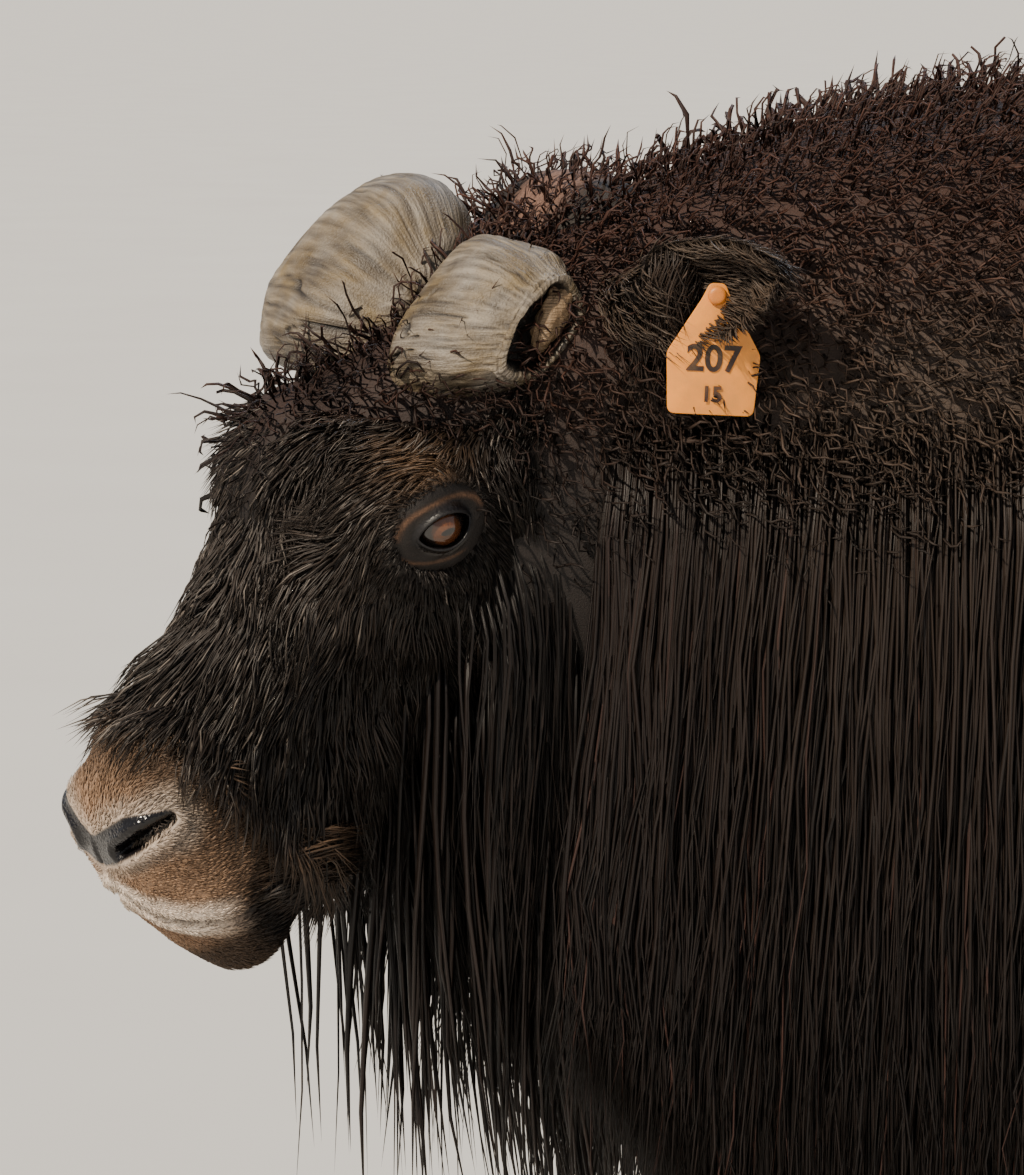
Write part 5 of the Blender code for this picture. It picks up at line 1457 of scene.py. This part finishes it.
roots, *face_set = hair_of_face()
on_left = roots[:, 0] > 0
for name, keep in (("face_hair_left", on_left), ("face_hair_right", ~on_left)):
    paths, widths, colours, where, fronts = face_set
    colours = [colour[keep] for colour in colours]
    add_coat(
        name, face_hair, "face_hair", paths[keep], widths[keep], 0.7, colours, where[keep], fronts[keep],
    )

# %% [markdown]
# ### Long guard hair
# Guard hair hangs from the neck, shoulders, flanks and rump as a skirt. Each lock finds the outside of the
# coat, slides down it, then hangs straight. Higher roots lie over lower ones. Locks are gathered in fives,
# whose tips draw together, because wet or oily strands cling. That leaves gaps near the skirt's lower edge.

# %% The skirt
COAT_STAND_OFF = 0.020
COAT = TRUNK + np.array([0, 0, 0, 0, COAT_STAND_OFF])
COAT_CAPS = (TRUNK_CAPS[0] + COAT_STAND_OFF, TRUNK_CAPS[1] + COAT_STAND_OFF)


def coat_level(points):
    """Under 1 inside the coat's outside and over 1 outside it; below its widest place it drops straight."""
    kept = np.clip(points[..., 1], COAT[0, 0], COAT[-1, 0])
    top, wide, _, half = np.moveaxis(smooth(COAT, kept), -1, 0)
    past = points[..., 1] - kept
    end = np.where(past < 0, past / COAT_CAPS[0], past / COAT_CAPS[1])
    rise = np.maximum(points[..., 2] - wide, 0) / (top - wide)
    shares = np.stack([np.abs(points[..., 0] / half), rise, np.abs(end)])
    return (shares**TRUNK_POWER).sum(axis=0) ** (1 / TRUNK_POWER)


def coat_normal(points):
    """The way out of the coat at places on it, from how its level changes, and how fast it changes."""
    slope = np.stack([
        (coat_level(points + shift) - coat_level(points - shift)) / 2e-4 for shift in np.eye(3) * 1e-4
    ], axis=-1)
    size = np.linalg.norm(slope, axis=-1, keepdims=True) + 1e-9
    return slope / size, size[..., 0]


def onto_coat(points, times=3):
    for _ in range(times):
        normal, size = coat_normal(points)
        points = points - normal * ((coat_level(points) - 1) / size)[..., None]
    return points, coat_normal(points)[0]


def round_the_body(side, walked, height):
    """Places round the outside of the body, by distance walked back along one side and round the rear."""
    straight, reach = TRUNK[-1, 0], COAT_CAPS[1]
    angle = np.clip((walked - straight) / reach / 1.25, 0, math.pi / 2)
    half = TRUNK[-1, 4] + COAT_STAND_OFF
    out = np.where(walked < straight, 0.30, half * np.cos(angle))
    back = np.where(walked < straight, walked, straight + reach * np.sin(angle))
    return np.stack([side * out, back, height], axis=-1)


def gathered(paths, walked, height, group, pull):
    """Paths with each lock's lower part drawn towards the tip of the nearest of a few chosen locks."""
    leaders = np.arange(0, len(paths), group)
    keys = np.stack([walked, height * 0.4], axis=-1)
    nearest = np.concatenate([
        leaders[((some[:, None] - keys[leaders]) ** 2).sum(-1).argmin(1)] for some in np.array_split(
            keys, 40,
        )
    ])
    share = np.linspace(0, 1, paths.shape[1])[None, :, None]
    towards = (paths[nearest] - paths) * [1, 1, 0]
    return paths + towards * pull[:, None, None] * share**1.6


def skirt(side, count, start, end, low, high, steps, crowd):
    """Long locks of one side: roots spread over the body's side, closer in front where crowd is over 1."""
    share = (np.arange(count) + chance.random(count)) / count
    walked = start + (end - start) * share**crowd
    height = low + (high - low) * chance.random(count) ** 0.85
    floor = np.interp(walked, [-0.76, -0.70, -0.62, -0.46, -0.38], [0.55, 0.50, 0.42, 0.34, 0.205])
    length = np.interp(height, [0.60, 0.82, 1.10], [0.40, 0.52, 0.54]) * chance.uniform(0.80, 1.1, count)
    ragged = (
        0.02 * noise(np.stack([walked, 0 * walked, 0 * walked], -1), 0.07, 51) + 0.02 * chance.random(count)
    )
    length = np.minimum(length, height - floor - ragged)
    keep = length > 0.10
    walked, height, length = walked[keep], height[keep], length[keep]
    count = len(walked)
    place, normal = onto_coat(round_the_body(side, walked, height), 8)
    trail, normals = [place], [normal]
    sway = 0.10 * noise(place, 0.16, 52) + chance.normal(0, 0.03, count) - 0.02
    fall = np.stack([0 * sway, sway, -np.ones(count)], axis=-1)
    for _ in range(steps):
        slide = unit(fall - normals[-1] * (fall * normals[-1]).sum(axis=-1, keepdims=True))
        place, normal = onto_coat(trail[-1] + slide * (length / steps)[:, None])
        trail.append(place)
        normals.append(normal)
    paths, normals = np.stack(trail, axis=1), np.stack(normals, axis=1)
    share = np.linspace(0, 1, steps + 1)
    ease = share * share * (3 - 2 * share)
    proud = (
        np.interp(height, [0.60, 0.82, 1.04], [0.006, 0.020, 0.026]) + chance.uniform(-0.014, 0.008, count)
    )
    depth = np.interp(height, [0.60, 0.82, 1.04], [0.055, 0.018, 0.010])
    offset = proud[:, None] * ease - depth[:, None] * (1 - ease) ** 1.5
    offset[:, 0] -= 0.012
    paths = paths + normals * offset[..., None]
    across = unit(np.cross(np.gradient(paths, axis=1), normals))
    phase = noise(paths[:, 0], 0.05, 53) * 5 + chance.normal(0, 0.5, count)
    turns = (length / 0.11)[:, None] * share * 2 * math.pi * (0.8 + 0.4 * noise(paths[:, 0], 0.08, 54))[
        :, None,
    ]
    swing = 0.0060 * np.sqrt(share) * (1 + 0.5 * chance.normal(0, 1, (count, 1)))
    paths = paths + across * (swing * np.sin(turns + phase[:, None]))[..., None]
    paths = paths + normals * (swing * 0.6 * np.cos(turns * 0.8 + phase[:, None]))[..., None]
    paths = gathered(paths, walked, height, 5, chance.uniform(0.3, 0.85, count))
    low = 0.5 if side > 0 else 0
    where = tile(np.stack([(walked + 0.8) / 2.0, height - 0.4], -1).clip(0, 1), (0, low), (0.5, low + 0.5))
    return paths, normals[:, 0], where


GUARD_TAPER = (0.55, 0.9, 1.0, 0.85, 0.55, 0.3)


def long_locks(name, side, count, start, end, low, high, width, steps=6, crowd=1.0):
    paths, fronts, where = skirt(side, count, start, end, low, high, steps, crowd)
    count = len(paths)
    root = body_colour(paths[:, 0]) * 0.7
    root = blend(root, GUARD_BROWN * 0.6, step(1.05, 0.9, paths[:, 0, 2]) * 0.8)
    tip = GUARD_BROWN * chance.uniform(0.6, 1.6, (count, 1))
    lighter = chance.random((count, 1)) < 0.05
    tip = np.where(lighter, linear("#46302a") * chance.uniform(0.7, 1.2, (count, 1)), tip)
    widths = varied(np.interp(paths[:, 0, 1], [-0.35, 0.0], width), 0.55, 1.35, count)
    add_coat(name, guard_hair, "guard_hair", paths, widths, 0.6, (root, tip), where, fronts, GUARD_TAPER)


long_locks("guard_left_front", 1, 6500, -0.76, 0.02, 0.62, 1.02, (0.0031, 0.0075), crowd=1.5)
long_locks("guard_left_back", 1, 2000, 0.02, 1.14, 0.60, 1.02, (0.0100, 0.0100))
long_locks("guard_right_front", -1, 1500, -0.76, 0.02, 0.62, 1.05, (0.0090, 0.0095))
long_locks("guard_right_back", -1, 1700, 0.02, 1.14, 0.60, 1.02, (0.0105, 0.0105))

# %% [markdown]
# ### Wool of the hump, nape and back
# Under the guard hair there is fine wool. On the hump it comes through as frizzy curls of one to three
# centimetres, red-brown at their ends, and behind the ear it is greyer. Over the loins the saddle lies flat,
# short and pale. Curls are helices that lean back with the coat.

# %% Wool
def trunk_places(count, density):
    roots, normals, where = scatter(trunk_rings, count, density)
    turned = np.where(where[:, 1:] < 0.5, where[:, 1:] + 0.5, where[:, 1:] - 0.5)
    return roots, normals, tile(np.concatenate([where[:, :1], turned], 1), *TRUNK_TILE)


def wool_density(points, normals):
    out, back, up = points[..., 0], points[..., 1], points[..., 2]
    crest = step(0.90, 1.00, up + 0.03 * noise(points, 0.05, 63)) * step(0.40, 0.10, back) * step(
        -0.92, -0.82, back,
    )
    return crest * (1 + 3.0 * step(-0.05, 0.02, out) * step(-0.15, -0.30, back))


def curls(roots, normals, length, radius, steps=5):
    """Paths of wool: each leans back with the coat while it turns round its own way once or so."""
    count = len(roots)
    length = varied(length, 0.7, 1.3, count)
    flow = np.array([0.0, 0.55, -0.65]) + 0.35 * noise_vectors(roots, 0.05, 61)
    flow = unit(flow + np.sign(roots[:, :1]) * [0.25, 0, 0])
    flow = unit(
        flow - normals * (flow * normals).sum(-1, keepdims=True) + chance.normal(0, 0.25, (count, 3))
    )
    t = np.linspace(0, 1, steps + 1)[None, :, None]
    size = length[:, None, None]
    paths = (
        roots[:, None] - normals[:, None] * 0.003 + normals[:, None] * size * 0.62 * (1 - (1 - t) ** 1.8)
    )
    paths = paths + flow[:, None] * size * 0.65 * t**1.3
    phase = chance.uniform(0, 6.3, count)[:, None, None]
    turns = chance.uniform(4.0, 8.5, count)[:, None, None] * np.sign(chance.normal(size=count))[
        :, None, None,
    ]
    round_one, round_two = unit(np.cross(flow, normals))[:, None], normals[:, None]
    swing = radius * np.sqrt(t)
    return paths + swing * (np.sin(turns * t + phase) * round_one + np.cos(turns * t + phase) * round_two)


roots, fronts, where = trunk_places(8600, wool_density)
paths = curls(roots, fronts, 0.034, 0.0055)
near = step(-0.05, 0.02, roots[:, 0]) * step(-0.15, -0.30, roots[:, 1])
widths = varied(0.0050 - 0.0030 * near, 0.6, 1.4, len(paths))
colours = shades(body_colour(roots), 0.45, 1.35, 0.25)
add_coat("wool_hump", wool_hair, "guard_hair", paths, widths, 0.6, colours, where, fronts)


def crown_density(points, normals):
    """Wool on the back of the head, which joins the hump's."""
    return step(0.10, 0.06, -points[..., 1]) * step(-0.15, -0.10, points[..., 2])


local, normals, where = scatter(head_rings, 900, crown_density)
roots, fronts = to_world(local), to_world_way(normals)
paths = curls(roots, fronts, 0.030, 0.005)
widths = varied(0.0022, 0.6, 1.4, len(roots))
colours = shades(evenly(HUMP_RED, roots), 0.45, 1.3, 0.25)
add_coat(
    "wool_crown", wool_hair, "guard_hair", paths, widths, 0.6, colours, tile(where, *HEAD_TILE), fronts,
)


def back_density(points, normals):
    up, back = points[..., 2], points[..., 1]
    return step(0.80, 0.92, up) * step(0.12, 0.30, back)


roots, fronts, where = trunk_places(3500, back_density)
flow = unit(np.array([0.0, 0.8, -0.5]) + np.sign(roots[:, :1]) * [0.5, 0, 0])
length = varied(0.050 + 0.02 * step(1.05, 0.95, roots[:, 2]), 0.7, 1.3, len(roots))
paths = combed(roots, fronts, flow, length, length * 0.42, 4, 0.25, 0.05, 0.08)
widths = varied(0.0085, 0.6, 1.4, len(paths))
colours = shades(body_colour(roots), 0.6, 1.2, 0.15)
add_coat("wool_back", wool_hair, "guard_hair", paths, widths, 0.5, colours, where, fronts)

# %% [markdown]
# ### Beard and throat
# Hair hangs from the cheeks and the jaw's edge as a beard that joins the skirt, long at the cheeks and short
# towards the chin. Each lock leaves its root outwards and soon falls straight down.

# %% Hanging hair under the head and neck
def falling(roots, normals, length, steps, stand, seed):
    """Paths of locks that leave their roots and fall free, wavering with their neighbours."""
    count = len(roots)
    t = np.linspace(0, 1, steps + 1)[None, :, None]
    out = normals * [1, 1, 0.2]
    drift = (
        noise_vectors(roots, 0.06, seed) * [0.10, 0.12, 0] + chance.normal(0, 0.025, (count, 3)) * [1, 1, 0]
    )
    paths = roots[:, None] + out[:, None] * (stand * (1 - np.exp(-6 * t)))
    paths = paths + length[:, None, None] * t * (np.array([0, 0, -1.0]) + drift[:, None] * t)
    phase = (noise(roots, 0.05, seed + 1) * 5 + chance.normal(0, 0.5, count))[:, None, None]
    waver = np.concatenate([np.sin(7 * t + phase), np.cos(6 * t + phase), 0 * t + 0 * phase], axis=-1)
    return paths + 0.005 * np.sqrt(t) * waver


def beard_density(points, normals):
    down, up = -points[..., 1], points[..., 2]
    cheek = step(-0.10, -0.14, up) * step(0.24, 0.18, down)
    jaw = step(-0.165, -0.20, up) * step(0.41, 0.36, down)
    return np.maximum(cheek * 0.8, jaw) * step(0.0, 0.02, down) * (1 + 0.8 * (points[..., 0] > 0))


local, normals, where = scatter(head_rings, 3000, beard_density)
down = -local[:, 1]
BEARD_PLACES = (0.03, 0.14, 0.195, 0.24, 0.29, 0.34, 0.385, 0.41)
BEARD_LENGTHS = (0.38, 0.38, 0.33, 0.25, 0.18, 0.11, 0.06, 0.03)
length = varied(np.interp(down, BEARD_PLACES, BEARD_LENGTHS), 0.75, 1.10, len(local))
length = length - 0.08 * step(-0.2, -0.12, local[:, 2]) * step(0.10, 0.16, down)
roots, fronts = to_world(local), to_world_way(normals)
paths = falling(roots, fronts, length, 6, 0.022, 71)
paths = gathered(paths, roots[:, 1], roots[:, 0], 5, chance.uniform(0.2, 0.8, len(roots)))
widths = varied(0.0030, 0.6, 1.3, len(paths))
colours = shades(blend(head_colour(local), GUARD_BROWN, 0.8 + 0 * length), 0.6, 1.15, 0.25)
where = tile(where, *HEAD_TILE)
add_coat(
    "beard", guard_hair, "face_hair", paths, widths, 0.6, colours, where, fronts,
    (0.6, 1.0, 0.9, 0.7, 0.45, 0.25),
)


def under_density(points, normals):
    back, up = points[..., 1], normals[..., 2]
    throat = step(-0.80, -0.74, back) * step(-0.28, -0.38, back) * step(-0.1, -0.5, up)
    return throat + 0.35 * step(-0.5, -0.8, up) * step(0.75, 0.6, back)


roots, fronts, where = trunk_places(2200, under_density)
length = np.interp(roots[:, 1], [-0.78, -0.60, -0.40, -0.20, 0.7], [0.34, 0.36, 0.30, 0.16, 0.12])
length = varied(length, 0.75, 1.1, len(roots))
paths = falling(roots, fronts, length, 5, 0.012, 73)
paths = gathered(paths, roots[:, 1], roots[:, 0], 5, chance.uniform(0.2, 0.7, len(roots)))
widths = varied(0.0060, 0.6, 1.3, len(paths))
colours, taper = shades(evenly(GUARD_BROWN, roots), 0.6, 1.3, 0.25), (0.6, 1.0, 0.9, 0.6, 0.3)
add_coat("throat_and_belly", guard_hair, "guard_hair", paths, widths, 0.6, colours, where, fronts, taper)

# %% [markdown]
# ### Ears and legs
# The ears are furred outside, with longer pale hair inside the cup and a tuft that hangs below it. The lower
# legs have dense short hair that lies straight down, and a fringe over the hooves.

# %% Hair of ears and legs
def ear_coat(side, rings, word, count, fringe):
    """Fur of an ear, longer and paler inside its cup, and the thin tuft that hangs from its lower edge."""
    along, across, opening = ear_ways(side)
    corner = (0.80, 0 if side > 0 else 0.5)
    roots, normals, where = scatter(rings, count, lambda points, normals: 1.0 + 0 * points[..., 0])
    share = where[:, 0]
    fronts = to_world_way(normals)
    where = tile(where, corner, (0.88, corner[1] + 0.5))
    inside = step(0.2, 0.6, normals @ opening)
    length = varied(0.018 + 0.008 * inside + 0.010 * step(0.35, 0.1, share), 0.6, 1.3, len(roots))
    flow = along * 0.8 + GRAVITY_IN_HEAD * (0.4 + 0.2 * share[:, None]) + opening * 0.2
    paths = combed(roots, normals, flow + 0 * roots, length, length * (0.18 + 0.30 * inside), 3, 0.2, 0.02)
    edge = step(0.55, 0.9, np.abs(normals @ across))
    colour = blend(
        evenly(linear("#241b17"), roots), linear("#5e5044"), np.maximum(inside * 0.6, edge * 0.7),
    )
    widths = varied(0.0014, 0.6, 1.3, len(roots))
    colours = shades(colour, 0.7, 1.2, 0.2)
    add_coat(
        "ear_hair_" + word, face_hair, "face_hair", to_world(paths), widths, 0.6, colours, where, fronts,
    )
    low = normals @ GRAVITY_IN_HEAD
    picked = chance.permutation(np.flatnonzero((low > 0.2) & (share > 0.04) & (share < 0.5)))[:fringe]
    length = varied(0.080, 0.5, 1.1, len(picked)) * (1 - 0.6 * share[picked])
    roots, where, fronts = roots[picked], where[picked], fronts[picked]
    paths = falling(to_world(roots), fronts, length, 4, 0.004, 75)
    widths = varied(0.0016, 0.6, 1.3, len(picked))
    colours = shades(evenly(linear("#3a2f28"), roots), 0.6, 1.2, 0.25)
    add_coat("ear_fringe_" + word, face_hair, "face_hair", paths, widths, 0.6, colours, where, fronts)


ear_coat(1, ear_sets[0], "left", 2400, 420)
ear_coat(-1, ear_sets[1], "right", 1200, 200)



def leg_density(points, normals):
    """Denser hair over the hooves."""
    return 1.0 + 1.2 * step(0.09, 0.06, points[..., 2])


for name, rings, number in zip(LEG_NAMES, leg_sets, range(4)):
    roots, normals, where = scatter(rings[:74], 1000, leg_density)
    height = roots[:, 2]
    length = 0.014 + 0.012 * step(0.085, 0.06, height) + 0.02 * step(0.32, 0.45, height)
    length = np.minimum(varied(length, 0.7, 1.2, len(roots)), np.maximum(height - 0.030, 0.006))
    paths = combed(roots, normals, np.array([0, 0, -1.0]) + 0 * roots, length, length * 0.16, 3, 0.15, 0.03)
    widths = varied(0.0046, 0.6, 1.3, len(roots))
    colours = shades(leg_colour(roots), 0.75, 1.15, 0.12)
    where = tile(where, (0.88, number / 4), (1.0, number / 4 + 0.25))
    add_coat("leg_hair_" + name, short_hair, "leg_hair", paths, widths, 0.45, colours, where, normals)
print("coat triangles", sum(len(piece.data.polygons) for piece, _ in coat_pieces))

# %% [markdown]
# ## Hiding the solids' parts
# All pieces ride on the one body, because this is a still model. The solids' flesh parts are hidden under the
# skin, and their horns, hooves, eyes and tag are hidden under the finer ones made here.

# %% Hide the solids' parts and attach the pieces
PAIRS = ("shoulder", "flank", "rump", "leg_front", "leg_rear")
FLESH = (
    "head", "neck", "ear_left", "ear_right", "tail",
    *(f"{part}_{side}" for part in PAIRS for side in ("left", "right")),
)
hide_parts(*FLESH)
for item, word in zip(eyes, ("left", "right")):
    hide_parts("eye_" + word)
for item, word in zip(horns, ("left", "right")):
    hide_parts("horn_" + word)
for item, word in zip(hooves, LEG_NAMES):
    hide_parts(f"hoof_{word}_inner", f"hoof_{word}_outer")
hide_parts("ear_tag")
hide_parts("ear_tag_stud")
coat = [item for item, _ in coat_pieces]
for item in (skin, *eyes, *horns, *hooves, tag, tag_button, numbers, small_numbers, *coat):
    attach(item, "root")

# %% [markdown]
# ## Studio
# The photograph was taken outdoors from the animal's left, with the sun high ahead of it. A museum model
# stands on a pale floor instead, under a sun from the same side and a soft pale sky, which fills the shade.

# %% Floor, light and camera
FLOOR_HEIGHT = -0.0005


def floor_disc():
    turn = np.arange(96) * 2 * math.pi / 96
    circle = np.stack([np.cos(turn), np.sin(turn), 0 * turn], -1)
    rings = np.stack([circle * radius + [0, 0, FLOOR_HEIGHT] for radius in (0.5, 8, 400)])
    points = np.concatenate([[[0, 0, FLOOR_HEIGHT]], rings.reshape(-1, 3)])
    j = np.arange(96)
    k = (j + 1) % 96
    faces = [np.stack([0 * j, 1 + j, 1 + k], -1)]
    for start in (1, 97):
        faces.append(np.stack([start + j, start + 96 + j, start + 96 + k], -1))
        faces.append(np.stack([start + j, start + 96 + k, start + k], -1))
    made = mesh_object("studio_floor", points, np.concatenate(faces))
    look, tree, shader = new_material("matt_floor", {"Roughness": 0.9, "Specular IOR Level": 0.2})
    place = add(tree, "ShaderNodeTexCoord").outputs["Object"]
    connect(tree, shader, {
        "Base Color": mixed(tree, streaky(tree, place, (1.5, 1.5, 1.5), 6.0), "#c9c5be", "#d3cfc8"),
    })
    made.data.materials.append(look)
    return made


floor_disc()

world = bpy.data.worlds.new("pale_sky")
bpy.context.scene.world = world
world.use_nodes = True
world.node_tree.nodes["Background"].inputs["Color"].default_value = (*linear("#dfe6ee"), 1)
world.node_tree.nodes["Background"].inputs["Strength"].default_value = 0.55


def sun(name, towards, energy, angle, code):
    """A distant light that shines from a direction."""
    lamp = bpy.data.lights.new(name, "SUN")
    lamp.energy, lamp.angle, lamp.color = energy, math.radians(angle), linear(code)
    item = bpy.data.objects.new(name, lamp)
    item.rotation_euler = Vector(towards).to_track_quat("Z", "Y").to_euler()
    bpy.context.scene.collection.objects.link(item)


sun("key_sun", (0.50, -0.80, 0.85), 5.5, 2, "#fff1dc")
sun("rim_sun", (-0.5, 0.4, 0.8), 1.2, 12, "#e6efff")

AZIMUTH, PITCH = math.radians(75), math.radians(7.7)
lens = bpy.data.cameras.new("camera")
lens.lens, lens.sensor_width, lens.clip_end = 141.4, 36, 1000
camera = bpy.data.objects.new("camera", lens)
camera.location = (3.0149, -1.4715, 1.2908)
look = Vector((-math.sin(AZIMUTH) * math.cos(PITCH), math.cos(AZIMUTH) * math.cos(PITCH), -math.sin(PITCH)))
camera.rotation_euler = look.to_track_quat("-Z", "Y").to_euler()
bpy.context.scene.collection.objects.link(camera)
bpy.context.scene.camera = camera
